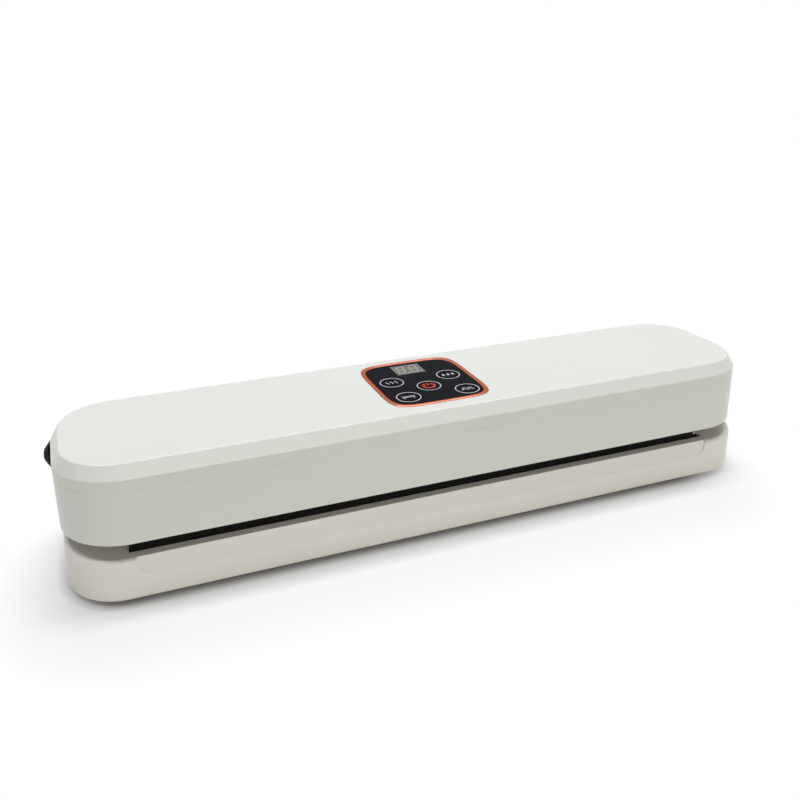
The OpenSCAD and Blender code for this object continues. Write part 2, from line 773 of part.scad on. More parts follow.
base_housing();
base_bottom_cover();
base_cover_screws();
rubber_feet();
press_strip();
lower_gasket();
hinge_pins();
lid_top_cover();
lid_housing();
lid_floor();
lid_floor_screws();
heater_bar();
heating_strip();
ptfe_tape();
thermal_cutoff();
upper_gasket();
panel_bezel();
panel_fascia();
display_window();
display_module();
control_board();
control_board_screws();
tact_switches();
power_key();
moist_key();
pulse_key();
seal_key();
dry_key();
pump_motor();
pump_crank();
pump_head();
pump_diaphragm();
pump_rod();
pump_valve_cover();
pump_bracket();
pump_rubber_mounts();
vacuum_port();
air_hose();
vent_valve();
power_board();
power_transformer();
power_relay();
power_capacitors();
cord_gland();
cord_clamp();
cord_clamp_screws();
heater_leads();
pump_leads();
panel_cable();
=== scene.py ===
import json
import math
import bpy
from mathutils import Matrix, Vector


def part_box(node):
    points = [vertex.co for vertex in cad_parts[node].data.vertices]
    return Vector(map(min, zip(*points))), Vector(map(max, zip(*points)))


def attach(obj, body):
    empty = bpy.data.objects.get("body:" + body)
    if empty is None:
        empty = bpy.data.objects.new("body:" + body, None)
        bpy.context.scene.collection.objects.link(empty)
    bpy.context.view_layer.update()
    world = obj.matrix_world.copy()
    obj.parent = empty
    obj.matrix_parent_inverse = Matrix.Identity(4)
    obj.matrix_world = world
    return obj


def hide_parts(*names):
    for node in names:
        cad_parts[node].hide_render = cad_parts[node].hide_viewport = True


bl_info = {
    "name": "Household Vacuum Sealer",
    "version": (1, 0, 0),
    "blender": (4, 5, 0),
    "location": "3D View > Sidebar > Sealer",
    "description": "Shells, panel, seals and finishes of a slim household bag sealer",
    "category": "Add Mesh",
}

import bmesh
import bpy
from bpy.props import FloatProperty, FloatVectorProperty, IntProperty, PointerProperty
from bpy.types import Operator, Panel, PropertyGroup
from mathutils import Matrix, Vector

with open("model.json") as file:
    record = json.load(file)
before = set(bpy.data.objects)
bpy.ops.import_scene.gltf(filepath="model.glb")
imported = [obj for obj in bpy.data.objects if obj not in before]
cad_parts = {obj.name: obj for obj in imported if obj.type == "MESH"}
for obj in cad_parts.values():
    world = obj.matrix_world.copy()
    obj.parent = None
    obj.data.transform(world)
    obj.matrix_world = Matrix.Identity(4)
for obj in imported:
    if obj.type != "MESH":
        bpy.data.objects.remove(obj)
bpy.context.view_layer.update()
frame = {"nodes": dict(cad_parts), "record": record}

MM = 0.001
MERGE = 1e-7
MITRE_LIMIT = 0.4

# ---- what the frame says ----------------------------------------------------------

JOINTS = {j["name"]: j for j in frame["record"]["behaviour"]["joints"]}
HINGE = Vector(JOINTS["lid_hinge"]["pos_m"])
AJAR = -math.radians(JOINTS["lid_hinge"]["range_deg"][0])
TILT = Matrix.Translation(HINGE) @ Matrix.Rotation(-AJAR, 4, "X") @ Matrix.Translation(-HINGE)

TRAY_LOW, TRAY_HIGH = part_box("base_housing")
STRIP_LOW, STRIP_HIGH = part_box("press_strip")
RING_LOW, RING_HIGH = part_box("lower_gasket")
RIM_LEVEL = HINGE.z


# ---- sizes and colours that a user would change -----------------------------------


def length(name, description, default):
    """A size property in metres."""
    return FloatProperty(
        name=name, description=description, default=default, min=0.0, max=1.0, unit="LENGTH", precision=5
    )


def tint(name, description, default):
    """A colour property."""
    return FloatVectorProperty(
        name=name, description=description, default=default, subtype="COLOR", size=3, min=0.0, max=1.0
    )


class TraySizes(PropertyGroup):
    """Sizes of the base tray."""

    corner: length("Corner radius", "Plan radius of the tray's corners", 24.8 * MM)
    lean: length("Wall lean", "Inward lean of the tray's wall over its height", 1.6 * MM)
    edge: length("Deck edge radius", "Radius of the rounded edge round the deck", 2.3 * MM)
    wall: length("Wall", "Thickness of the tray's side wall", 2.6 * MM)
    deck: length("Deck height", "Height of the deck above the table", RIM_LEVEL - 1.0 * MM)
    foot: length("Foot height", "Height of the rubber feet", 1.5 * MM)
    scoop_length: length("Scoop length", "Length of the finger scoop at the front", 299.4 * MM)
    scoop_height: length("Scoop height", "Height of the finger scoop's slope", 8.6 * MM)
    scoop_corner: length("Scoop corner", "Radius of the scoop's lower corners", 6.5 * MM)
    scoop_depth: length("Scoop depth", "How far back the scoop reaches at mid length", 3.3 * MM)
    scoop_bow: length("Scoop bow", "How much less it reaches back at its ends", 0.2 * MM)
    trough_length: length("Trough length", "Length of the vacuum trough", 300 * MM)
    trough_width: length("Trough width", "Width of the vacuum trough", 34 * MM)
    trough_depth: length("Trough depth", "Depth of the vacuum trough", 8 * MM)
    soft: length("Soft edges", "Width of the small rounding on moulded edges", 0.3 * MM)


class LidSizes(PropertyGroup):
    """Sizes of the lid, drawn shut."""

    length: length("Length", "Length at the lower rim", 357.9 * MM)
    depth: length("Depth", "Depth at the lower rim", 81.1 * MM)
    corner: length("Corner radius", "Plan radius at the lower rim", 29 * MM)
    wall_height: length("Wall height", "Height of the side wall up to the chamfer", 30.1 * MM)
    lean: length("Wall lean", "Inward lean of the side wall", 0.9 * MM)
    chamfer_height: length("Chamfer height", "Height of the chamfer round the top", 6 * MM)
    chamfer_width: length("Chamfer width", "Width of the chamfer in plan", 3.8 * MM)
    top_soft: length("Top edge radius", "Radius where the chamfer meets the top", 0.9 * MM)
    low_soft: length("Chamfer foot radius", "Radius where the chamfer meets the wall", 1.6 * MM)
    joint_gap: length("Parting chamfer", "Size of the small chamfers at the parting line", 0.13 * MM)
    parting: length("Parting drop", "Distance from the chamfer to the parting line", 5.4 * MM)
    wall: length("Wall", "Thickness of the shells", 2.5 * MM)


class PanelSizes(PropertyGroup):
    """Sizes of the control panel."""

    width: length("Bezel width", "Width over the bezel", 53.8 * MM)
    depth: length("Bezel depth", "Depth over the bezel, front to back", 58.6 * MM)
    back: length("Bezel offset", "How far the panel sits behind the lid's middle line", 0.75 * MM)
    rim: length("Rim", "Width of the bezel's rim", 2.3 * MM)
    key_radius: length("Key radius", "Radius of the round keys", 6.4 * MM)
    ring_width: length("Ring width", "Width of the printed ring on each key", 0.56 * MM)
    digit_height: length("Digit height", "Height of the display's digits", 9.4 * MM)
    digits: IntProperty(name="Digits", description="Number of digits", default=2, min=1, max=3)


class Colours(PropertyGroup):
    """Base colours, as linear values."""

    white: tint("Lid white", "Moulded plastic of the lid", (0.80, 0.825, 0.782))
    cream: tint("Tray cream", "Moulded plastic of the tray", (0.885, 0.872, 0.815))
    copper: tint("Copper", "Plated bezel", (0.57, 0.20, 0.13))
    gloss: tint("Fascia black", "Gloss fascia and keys", (0.0085, 0.0092, 0.0125))
    mark: tint("Print white", "Printed rings and marks", (0.62, 0.63, 0.66))
    red: tint("Print red", "Power mark", (0.55, 0.045, 0.028))
    digit: tint("Digit beige", "Unlit display segments", (0.41, 0.42, 0.32))


GROUPS = (
    ("sealer_tray", TraySizes),
    ("sealer_lid", LidSizes),
    ("sealer_panel", PanelSizes),
    ("sealer_colours", Colours),
)


# ---- outlines and meshes -------------------------------------------------------------


def turn(angle):
    return Vector((math.cos(angle), math.sin(angle)))


def plan(half_x, half_y, radius, steps=14):
    """Anticlockwise rounded rectangle; it keeps its corner centres when radius alone changes."""
    points = []
    for quarter, (sx, sy) in enumerate(((1, 1), (-1, 1), (-1, -1), (1, -1))):
        centre = Vector((sx * half_x, sy * half_y))
        for i in range(steps + 1):
            points.append(centre + radius * turn(math.pi / 2 * (quarter + i / steps)))
    return points


def bowed(half_w, half_d, steps=14, power=5.5, middle=(0.0, 0.0)):
    """Anticlockwise outline with bowed sides and soft corners, with as many points as plan()."""
    points = []
    margin = math.radians(0.2)
    for quarter in range(4):
        for i in range(steps + 1):
            a = margin + (math.pi / 2 - 2 * margin) * i / steps + quarter * math.pi / 2
            c, s = math.cos(a), math.sin(a)
            x = math.copysign(abs(c) ** (2 / power), c)
            y = math.copysign(abs(s) ** (2 / power), s)
            points.append(Vector((middle[0] + half_w * x, middle[1] + half_d * y)))
    return points


def soften(profile, radii, steps=5):
    """The same open profile with the named corners (index: radius) turned into arcs."""
    result = []
    for i, point in enumerate(profile):
        here = Vector(point)
        if i not in radii:
            result.append(here)
            continue
        before = (Vector(profile[i - 1]) - here).normalized()
        after = (Vector(profile[(i + 1) % len(profile)]) - here).normalized()
        half = before.angle(after) / 2
        reach = radii[i] / math.tan(half)
        centre = here + (before + after).normalized() * radii[i] / math.sin(half)
        first, last = here + before * reach - centre, here + after * reach - centre
        sweep = first.angle_signed(last)
        for k in range(steps + 1):
            a = -sweep * k / steps
            result.append(centre + Matrix.Rotation(a, 2) @ first)
    return result


def circle(centre, radius, steps):
    return [Vector(centre) + radius * turn(2 * math.pi * i / steps) for i in range(steps)]


def at_level(outline, z):
    return [Vector((p.x, p.y, z)) for p in outline]


def storeys(half_x, half_y, profile, steps=14, shift=Vector((0.0, 0.0))):
    """A rounded rectangle for each (radius, level) of the profile."""
    return [at_level([p + shift for p in plan(half_x, half_y, radius, steps)], z) for radius, z in profile]


def loft(bm, loops, wrap=False):
    """Quads between successive loops of equal length; the ends are joined or capped."""
    rings = [[bm.verts.new(p) for p in loop] for loop in loops]
    count = len(rings[0])
    pairs = list(zip(rings, rings[1:]))
    if wrap:
        pairs.append((rings[-1], rings[0]))
    for low, high in pairs:
        for i in range(count):
            k = (i + 1) % count
            bm.faces.new((low[i], low[k], high[k], high[i]))
    if not wrap:
        bm.faces.new(rings[0])
        bm.faces.new(rings[-1])
    return rings


def slab(bm, outline, z0, z1):
    """A flat plate of any outline."""
    loft(bm, [at_level(outline, z0), at_level(outline, z1)])


def block(bm, low, high):
    """An axis-aligned block between two corners."""
    (x0, y0, z0), (x1, y1, z1) = low, high
    slab(bm, [Vector(p) for p in ((x0, y0), (x1, y0), (x1, y1), (x0, y1))], z0, z1)


def lathe(bm, profile, steps, place):
    """A turned solid: profile is (radius, height) from one end of the axis to the other."""
    loops = []
    for radius, height in profile:
        loops.append([
            place @ Vector((radius * math.cos(a), radius * math.sin(a), height))
            for a in (2 * math.pi * i / steps for i in range(steps))
        ])
    loft(bm, loops)


def along_x(x, y, z):
    """Places a lathe with its axis along +X, starting at the point given."""
    return Matrix.Translation((x, y, z)) @ Matrix.Rotation(math.pi / 2, 4, "Y")


def stroke(bm, path, width, z0, z1):
    """A flat bar that follows an open path, with mitred bends."""
    edges = []
    for i, point in enumerate(path):
        here = Vector(point)
        before = (here - Vector(path[i - 1])).normalized() if i else None
        after = (Vector(path[i + 1]) - here).normalized() if i < len(path) - 1 else None
        heading = ((before or after) + (after or before)).normalized()
        side = Vector((-heading.y, heading.x))
        along = after or before
        spread = width / 2 / max(MITRE_LIMIT, side.dot(Vector((-along.y, along.x))))
        left, right = here + side * spread, here - side * spread
        edges.append([
            bm.verts.new((left.x, left.y, z1)), bm.verts.new((right.x, right.y, z1)),
            bm.verts.new((right.x, right.y, z0)), bm.verts.new((left.x, left.y, z0)),
        ])
    for a, b in zip(edges, edges[1:]):
        for i in range(4):
            k = (i + 1) % 4
            bm.faces.new((a[i], a[k], b[k], b[i]))
    bm.faces.new(edges[0])
    bm.faces.new(edges[-1])


def annulus(bm, centre, inner, outer, z0, z1, steps):
    """A flat ring."""
    section = ((inner, z0), (outer, z0), (outer, z1), (inner, z1))
    loft(bm, [at_level(circle(centre, radius, steps), z) for radius, z in section], wrap=True)


def finish_mesh(obj, crease=32.0):
    """Outward normals, smooth faces, and sharp edges above the crease angle."""
    bm = bmesh.new()
    bm.from_mesh(obj.data)
    bmesh.ops.remove_doubles(bm, verts=bm.verts, dist=MERGE)
    bmesh.ops.recalc_face_normals(bm, faces=bm.faces)
    bm.to_mesh(obj.data)
    bm.free()
    for polygon in obj.data.polygons:
        polygon.use_smooth = True
    obj.data.set_sharp_from_angle(angle=math.radians(crease))
    flats = obj.modifiers.new("flats", "WEIGHTED_NORMAL")
    flats.keep_sharp = True
    bake_modifiers(obj)


def build(name, shape, tilted=False):
    """An object whose mesh is filled by shape(bm); tilted pieces are drawn with the lid shut."""
    bm = bmesh.new()
    shape(bm)
    bmesh.ops.recalc_face_normals(bm, faces=bm.faces)
    if tilted:
        bm.transform(TILT)
    mesh = bpy.data.meshes.new(name)
    bm.to_mesh(mesh)
    bm.free()
    obj = bpy.data.objects.new(name, mesh)
    bpy.context.scene.collection.objects.link(obj)
    return obj


def bake_modifiers(obj):
    """Turns what the modifiers make into the object's own mesh."""
    graph = bpy.context.evaluated_depsgraph_get()
    made = bpy.data.meshes.new_from_object(obj.evaluated_get(graph))
    obj.modifiers.clear()
    obj.data = made


def carve(obj, shape, operation="DIFFERENCE"):
    """Cuts, or adds, the solid that shape(bm) draws."""
    tool = build("tool", shape)
    change = obj.modifiers.new("carve", "BOOLEAN")
    change.object = tool
    change.operation = operation
    change.solver = "EXACT"
    bake_modifiers(obj)
    bpy.data.objects.remove(tool, do_unlink=True)


def round_edges(obj, width, angle=40.0, segments=2):
    """Small rounding on every edge sharper than the angle."""
    change = obj.modifiers.new("soft", "BEVEL")
    change.width = width
    change.segments = segments
    change.limit_method = "ANGLE"
    change.angle_limit = math.radians(angle)
    change.use_clamp_overlap = True
    change.harden_normals = False
    bake_modifiers(obj)


def dress(obj, material, body, replaced=(), crease=32.0):
    """Finishes a piece: normals, material, the body it rides on and the node it stands for."""
    finish_mesh(obj, crease)
    obj.data.materials.clear()
    obj.data.materials.append(material)
    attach(obj, body)
    if replaced:
        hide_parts(*replaced)
    return obj


# ---- shader maths -----------------------------------------------------------------------


class Value:
    """A shader socket that takes part in Python arithmetic."""

    def __init__(self, recipe, socket):
        self.recipe = recipe
        self.socket = socket

    def math(self, operation, *terms):
        settings = {"operation": operation}
        return self.recipe.node("ShaderNodeMath", settings, dict(enumerate(terms)))

    def __add__(self, other):
        return self.math("ADD", self, other)

    def __radd__(self, other):
        return self.math("ADD", other, self)

    def __sub__(self, other):
        return self.math("SUBTRACT", self, other)

    def __rsub__(self, other):
        return self.math("SUBTRACT", other, self)

    def __mul__(self, other):
        return self.math("MULTIPLY", self, other)

    def __rmul__(self, other):
        return self.math("MULTIPLY", other, self)

    def __truediv__(self, other):
        return self.math("DIVIDE", self, other)

    def __rtruediv__(self, other):
        return self.math("DIVIDE", other, self)

    def __pow__(self, other):
        return self.math("POWER", self, other)

    def __gt__(self, other):
        return self.math("GREATER_THAN", self, other)

    def __lt__(self, other):
        return self.math("LESS_THAN", self, other)

    def sine(self):
        return self.math("SINE", self)

    def clipped(self):
        """Held between 0 and 1."""
        return self.math("MINIMUM", self.math("MAXIMUM", self, 0.0), 1.0)


class Recipe:
    """One material, or the world's light, under construction."""

    def __init__(self, name, world=False):
        self.material = bpy.data.worlds.new(name) if world else bpy.data.materials.new(name)
        self.material.use_nodes = True
        self.tree = self.material.node_tree
        self.tree.nodes.clear()
        self.output = self.tree.nodes.new("ShaderNodeOutputWorld" if world else "ShaderNodeOutputMaterial")

    def finish(self, shader):
        self.tree.links.new(shader.socket, self.output.inputs["Surface"])
        return self.material

    def feed(self, socket, value):
        if isinstance(value, Value):
            self.tree.links.new(value.socket, socket)
        elif isinstance(value, (tuple, list, Vector)) and len(value) == 3 and socket.type == "RGBA":
            socket.default_value = (*value, 1.0)
        else:
            socket.default_value = value

    def node(self, kind, settings=None, inputs=None, output=0):
        """Any node: its settings first (a ramp's stops among them), then its sockets."""
        node = self.tree.nodes.new(kind)
        for name, value in (settings or {}).items():
            if name == "stops":
                ramp = node.color_ramp
                while len(ramp.elements) < len(value):
                    ramp.elements.new(0.5)
                for element, (place, colour) in zip(ramp.elements, value):
                    element.position = place
                    element.color = (*colour, 1.0)
            else:
                setattr(node, name, value)
        for key, value in (inputs or {}).items():
            self.feed(node.inputs[key], value)
        return Value(self, node.outputs[output])

    def also(self, value, output):
        """Another output of the node a value comes from."""
        return Value(self, value.socket.node.outputs[output])

    def place(self):
        """Object coordinates, which ride with the piece."""
        return self.node("ShaderNodeTexCoord", output="Object")

    def noise(self, scale, detail=3.0, roughness=0.5, where=None):
        inputs = {"Vector": where or self.place(), "Scale": scale, "Detail": detail, "Roughness": roughness}
        return self.node("ShaderNodeTexNoise", {}, inputs, "Fac")

    def blend(self, factor, first, second):
        """Colour mix."""
        settings = {"data_type": "RGBA", "blend_type": "MIX"}
        return self.node("ShaderNodeMix", settings, {0: factor, 6: first, 7: second}, 2)

    def vector(self, operation, first, second=(0.0, 0.0, 0.0)):
        return self.node("ShaderNodeVectorMath", {"operation": operation}, {0: first, 1: second})

    def stretched(self, scales):
        """Object coordinates scaled on each axis."""
        return self.vector("MULTIPLY", self.place(), scales)

    def outside(self, centre, half):
        """Distance outside a box given by its centre and half sizes."""
        offset = self.vector("ABSOLUTE", self.vector("SUBTRACT", self.place(), centre))
        beyond = self.vector("MAXIMUM", self.vector("SUBTRACT", offset, half), (0.0, 0.0, 0.0))
        return self.node("ShaderNodeVectorMath", {"operation": "LENGTH"}, {0: beyond}, "Value")

    def bump(self, height, distance):
        return self.node("ShaderNodeBump", {}, {"Height": height, "Distance": distance, "Strength": 1.0})

    def mix(self, factor, first, second):
        """Shader mix."""
        return self.node("ShaderNodeMixShader", {}, {0: factor, 1: first, 2: second})

    def by_ray(self, bounced, seen):
        """One shader for bounced light, another for what the camera, a mirror or glass looks at."""
        camera = self.node("ShaderNodeLightPath", {}, {}, "Is Camera Ray")
        shown = camera + self.also(camera, "Is Glossy Ray") + self.also(camera, "Is Transmission Ray")
        return self.mix(shown.clipped(), bounced, seen)

    def surface(self, **sockets):
        """The principled shader, with its sockets named by keywords, wired to the output."""
        inputs = {}
        for key, value in sockets.items():
            inputs[key.replace("_", " ").title().replace("Ior", "IOR")] = value
        return self.finish(self.node("ShaderNodeBsdfPrincipled", {}, inputs))


def shade(colour, factor):
    return tuple(channel * factor for channel in colour)


def moulded_gloss(name, colour, roughness=0.3, depth=0.00003):
    """Glossy moulded plastic: faint flow mottling, slight orange peel and hand marks."""
    r = Recipe(name)
    mottle = r.noise(22.0, 2.0)
    marks = r.noise(60.0, 6.0, 0.65)
    peel = r.noise(900.0, 2.0)
    return r.surface(
        base_color=r.blend(mottle, colour, shade(colour, 0.965)),
        roughness=roughness - 0.04 + 0.1 * marks,
        coat_weight=0.12,
        coat_roughness=0.12,
        specular_ior_level=0.5,
        normal=r.bump(peel, depth),
    )


def moulded_matt(name, colour, roughness=0.55, grain=1500.0, depth=0.00006):
    """Fine spark-eroded texture on an inner or lower moulding."""
    r = Recipe(name)
    texture = r.noise(grain, 3.0, 0.7)
    dust = r.noise(35.0, 4.0)
    return r.surface(
        base_color=r.blend(dust, colour, shade(colour, 0.93)),
        roughness=roughness - 0.05 + 0.1 * texture,
        normal=r.bump(texture, depth),
    )


def plated(name, colour, roughness=0.22):
    """Plated trim with a faint ripple and a duller bloom in places."""
    r = Recipe(name)
    bloom = r.noise(140.0, 4.0)
    ripple = r.noise(420.0, 2.0)
    return r.surface(
        base_color=r.blend(bloom, colour, shade(colour, 0.82)),
        metallic=1.0,
        specular_tint=(0.72, 0.40, 0.31, 1.0),
        roughness=roughness + 0.16 * bloom,
        normal=r.bump(ripple, 0.00004),
    )


def gloss_print(name, colour, roughness=0.12, shine=0.005):
    """Back-printed acrylic with faint finger marks."""
    r = Recipe(name)
    smear = r.noise(90.0, 5.0, 0.6)
    return r.surface(
        base_color=r.blend(smear, colour, shade(colour, 1.35)),
        roughness=roughness + 0.12 * smear,
        specular_ior_level=shine,
        normal=r.bump(r.noise(300.0, 1.0), 0.00001),
    )


def ink(name, colour, roughness=0.4):
    """Screen-printed ink with a slightly uneven edge of tone."""
    r = Recipe(name)
    patch = r.noise(1600.0, 2.0)
    return r.surface(
        base_color=r.blend(patch, colour, shade(colour, 0.8)), roughness=roughness + 0.1 * patch,
        specular_ior_level=0.05,
    )


def soft_rubber(name, colour, roughness=0.5, grain=1100.0, shine=0.5):
    """Rubber or silicone: matt, with a faint pale bloom."""
    r = Recipe(name)
    bloom = r.noise(160.0, 5.0, 0.65)
    grit = r.noise(grain, 3.0)
    pale = tuple(1.5 * channel + 0.004 for channel in colour)
    return r.surface(
        base_color=r.blend(bloom, colour, pale), roughness=roughness + 0.15 * bloom, specular_ior_level=shine,
        normal=r.bump(grit, 0.00004),
    )


def cell_foam(name, colour):
    """Closed-cell foam: open pores on the cut skin, painted darker in their hollows as shade."""
    r = Recipe(name)
    settings = {"feature": "F1"}
    cells = r.node("ShaderNodeTexVoronoi", settings, {"Vector": r.place(), "Scale": 1500.0}, "Distance")
    lumps = r.noise(380.0, 3.0)
    pores = (cells * 1.6).clipped()
    return r.surface(
        # Painted shade: the colour is darker in each pore's hollow and lighter on the skin between pores.
        base_color=r.blend(pores, shade(colour, 0.45), shade(colour, 1.25)),
        roughness=0.92,
        normal=r.bump(pores + 0.6 * lumps, 0.00025),
    )


def metal(name, colour, roughness=0.3, brush=(60.0, 900.0, 900.0)):
    """Plated or rolled metal with fine drawn lines."""
    r = Recipe(name)
    where = r.stretched(brush)
    lines = r.noise(1.0, 3.0, 0.6, where)
    return r.surface(
        base_color=r.blend(lines, colour, shade(colour, 0.8)),
        metallic=1.0,
        roughness=roughness - 0.06 + 0.18 * lines,
        normal=r.bump(lines, 0.00003),
    )


def coated_cloth(name, colour, pitch=0.0006):
    """Coated glass cloth: a fine plain weave under a smooth film, with scorched patches."""
    r = Recipe(name)
    x = r.node("ShaderNodeSeparateXYZ", {}, {0: r.place()}, "X")
    y = r.also(x, "Y")
    rate = 2 * math.pi / pitch
    weave = 0.5 + 0.5 * ((x * rate).sine() * (y * rate).sine())
    stain = r.noise(45.0, 4.0)
    tone = r.blend(stain, colour, shade(colour, 0.72))
    return r.surface(
        # Painted shade: the colour is darker where the weave's bump is low, in the hollows between threads.
        base_color=r.blend(weave, shade(colour, 0.62), tone),
        roughness=0.34 + 0.12 * weave,
        normal=r.bump(weave, 0.00005),
    )


def circuit_board(name, colour):
    """Solder-masked board with paler track runs."""
    r = Recipe(name)
    settings = {"feature": "F1", "distance": "MANHATTAN"}
    cells = r.node("ShaderNodeTexVoronoi", settings, {"Vector": r.place(), "Scale": 260.0}, "Distance")
    tracks = (cells * 240.0).sine() > 0.3
    return r.surface(
        base_color=r.blend(tracks, colour, shade(colour, 1.7)), roughness=0.35, normal=r.bump(tracks, 0.00003)
    )


def smoked(name, colour):
    """Smoked window: grey, glossy, with a soft uneven tone."""
    r = Recipe(name)
    haze = r.noise(70.0, 2.0)
    return r.surface(base_color=r.blend(haze, colour, shade(colour, 0.85)), roughness=0.14 + 0.06 * haze)


# Finish of the construction parts that are shown as packed: its maker, colour and settings, and nodes.
CARRIED = {
    "lower_moulding": (moulded_matt, [(0.70, 0.675, 0.60)], ["base_bottom_cover"]),
    "zinc": (metal, [(0.68, 0.69, 0.70), 0.32], [
        "base_cover_screws", "lid_floor_screws", "control_board_screws", "pump_motor", "pump_bracket",
        "cord_clamp_screws",
    ]),
    "feet_rubber": (soft_rubber, [(0.03, 0.03, 0.031), 0.7], [
        "rubber_feet", "pump_diaphragm", "pump_rubber_mounts",
    ]),
    "pin_steel": (metal, [(0.62, 0.63, 0.64), 0.25], ["hinge_pins"]),
    "floor_moulding": (moulded_matt, [(0.72, 0.715, 0.67), 0.5], ["lid_floor"]),
    "heater_resin": (moulded_matt, [(0.34, 0.32, 0.28), 0.6], ["heater_bar"]),
    "nichrome": (metal, [(0.55, 0.52, 0.48), 0.35], ["heating_strip"]),
    "glass_cloth": (coated_cloth, [(0.50, 0.33, 0.17)], ["ptfe_tape"]),
    "ceramic": (moulded_matt, [(0.80, 0.76, 0.67), 0.3], ["thermal_cutoff"]),
    "dark_moulding": (moulded_matt, [(0.045, 0.045, 0.05)], [
        "display_module", "tact_switches", "pump_head", "pump_valve_cover", "power_capacitors", "cord_clamp",
    ]),
    "board": (circuit_board, [(0.03, 0.14, 0.07)], ["control_board", "power_board"]),
    "nylon": (moulded_matt, [(0.78, 0.78, 0.74), 0.4], ["pump_crank", "pump_rod", "vacuum_port"]),
    "hose_silicone": (soft_rubber, [(0.70, 0.72, 0.70), 0.3], ["air_hose"]),
    "brass": (metal, [(0.72, 0.52, 0.22), 0.3], ["vent_valve"]),
    "winding_tape": (moulded_matt, [(0.66, 0.46, 0.10), 0.35], ["power_transformer"]),
    "relay_case": (moulded_matt, [(0.04, 0.11, 0.38), 0.4], ["power_relay"]),
    "red_lead": (soft_rubber, [(0.48, 0.04, 0.03), 0.4], ["heater_leads"]),
    "blue_lead": (soft_rubber, [(0.03, 0.08, 0.40), 0.4], ["pump_leads"]),
    "ribbon": (soft_rubber, [(0.70, 0.70, 0.66), 0.45], ["panel_cable"]),
}


# ---- places and fits, with the lid drawn shut -------------------------------------------

TOP_LEVEL = RIM_LEVEL + 36.1 * MM
FASCIA_LEVEL = TOP_LEVEL + 0.05 * MM
KEY_TOP = FASCIA_LEVEL + 0.1 * MM
KEYS = {
    "power_key": (0.0, -7.0 * MM),
    "moist_key": (15.1 * MM, 3.4 * MM),
    "pulse_key": (16.0 * MM, -17.7 * MM),
    "seal_key": (-14.9 * MM, -16.8 * MM),
    "dry_key": (-15.8 * MM, 3.8 * MM),
}
WINDOW_X = (-9.0 * MM, 6.5 * MM)
WINDOW_Y = (12.2 * MM, 25.0 * MM)
PANEL_SEAT = TOP_LEVEL - 1.5 * MM
PRINT_SINK = 0.02 * MM

HINGE_X = 110.0 * MM
KNUCKLE_PITCH = 8.0 * MM
KNUCKLE_HALF = 3.6 * MM
KNUCKLE_RADIUS = 3.0 * MM
KNUCKLE_CLEARANCE = 0.4 * MM
PIN_HOLE_IN_TRAY = 1.52 * MM
PIN_HOLE_IN_LID = 1.56 * MM

GLAND_Y = 18.5 * MM
GLAND_LEVEL = 43.0 * MM
GLAND_HOLE = 4.5 * MM

# The vacuum chamber's middle lies this far in front of the lid's, and the gaskets run round it.
CHAMBER_Y = -2 * MM
CHAMBER_SHIFT = Vector((0.0, CHAMBER_Y))
GASKET_WIDTH = 4 * MM
GASKET_SOFT = 0.7 * MM
GROOVE_DEPTH = 1.4 * MM

# How far a cutting solid runs past the face it cuts, and the height of one that starts below the panel.
PAST = MM
CUT_HEIGHT = 5 * MM
# Steps in each quarter of the lid's and the panel's outlines, and round turned parts.
LID_STEPS = 18
PANEL_STEPS = 24
TURNED_STEPS = 48
KEY_STEPS = 72
# Rounding of the parting line's edges, as a share of their chamfer.
NICK_SOFT = 0.4


# ---- the stage ---------------------------------------------------------------------------

# Azimuth, elevation and roll in degrees.
CAMERA_ANGLES = (-22.0, 27.18, 1.21)
CAMERA_SPOT = Vector((-154.855, -348.951, 247.955)) * MM
CAMERA_LENS = 37.89
SENSOR_WIDTH = 36.0
# Name, place, aim, size, power and colour of each lamp.
LAMPS = (
    ("overhead", (0.0, 0.24, 1.3), (0.0, 0.0, 0.0), (1.5, 0.3), 15.5, (1.0, 1.0, 1.0)),
    ("front", (0.0, -1.6, 0.5), (0.0, 0.0, 0.03), (1.0, 1.0), 9.2, (1.0, 0.945, 0.89)),
)
ROOM_LIGHT = 0.11

FLOOR_REACH = 20.0
# Keeps the floor clear of the undersides of the feet.
FLOOR_LEVEL = -0.05 * MM
# The floor shows shadow round this box, and fades to plain white within the reach.
SHADOW_CENTRE = (-0.0125, -0.0275, 0.0)
SHADOW_HALF = (0.1445, 0.0075, 1.0)
SHADOW_REACH = 0.056
SHADOW_FADE = 1.5
# Close under the tray's edge the floor is painted darker, a painted contact shadow: where that starts to
# clear, measured out from the edge, and the width over which it clears.
CONTACT_SHADOW_START = -0.002
CONTACT_SHADOW_REACH = 0.0065


def knuckle_places(of_lid):
    """Centres along X of the knuckles that belong to the lid or to the tray."""
    steps = (0,) if of_lid else (-1, 1)
    return [side * HINGE_X + k * KNUCKLE_PITCH for side in (-1, 1) for k in steps]


def barrels(bm, of_lid, clearance=0.0):
    """The knuckles of one side, or the clearance cylinders round them."""
    radius, long = KNUCKLE_RADIUS + clearance, 2 * (KNUCKLE_HALF + clearance)
    profile, soft = [(radius, 0.0), (radius, long)], 0.35 * MM
    if not clearance:
        profile = [(radius - soft, 0.0), (radius, soft), (radius, long - soft), (radius - soft, long)]
    for x in knuckle_places(of_lid):
        lathe(bm, profile, TURNED_STEPS, along_x(x - long / 2, HINGE.y, HINGE.z))


def webs(bm, of_lid, reach, low, high):
    for x in knuckle_places(of_lid):
        block(bm, (x - KNUCKLE_HALF, HINGE.y - reach, low), (x + KNUCKLE_HALF, HINGE.y, high))


def pin_holes(bm, radius):
    reach = 20 * MM
    for side in (-1, 1):
        start = side * HINGE_X - reach
        lathe(bm, [(radius, 0.0), (radius, 2 * reach)], 32, along_x(start, HINGE.y, HINGE.z))


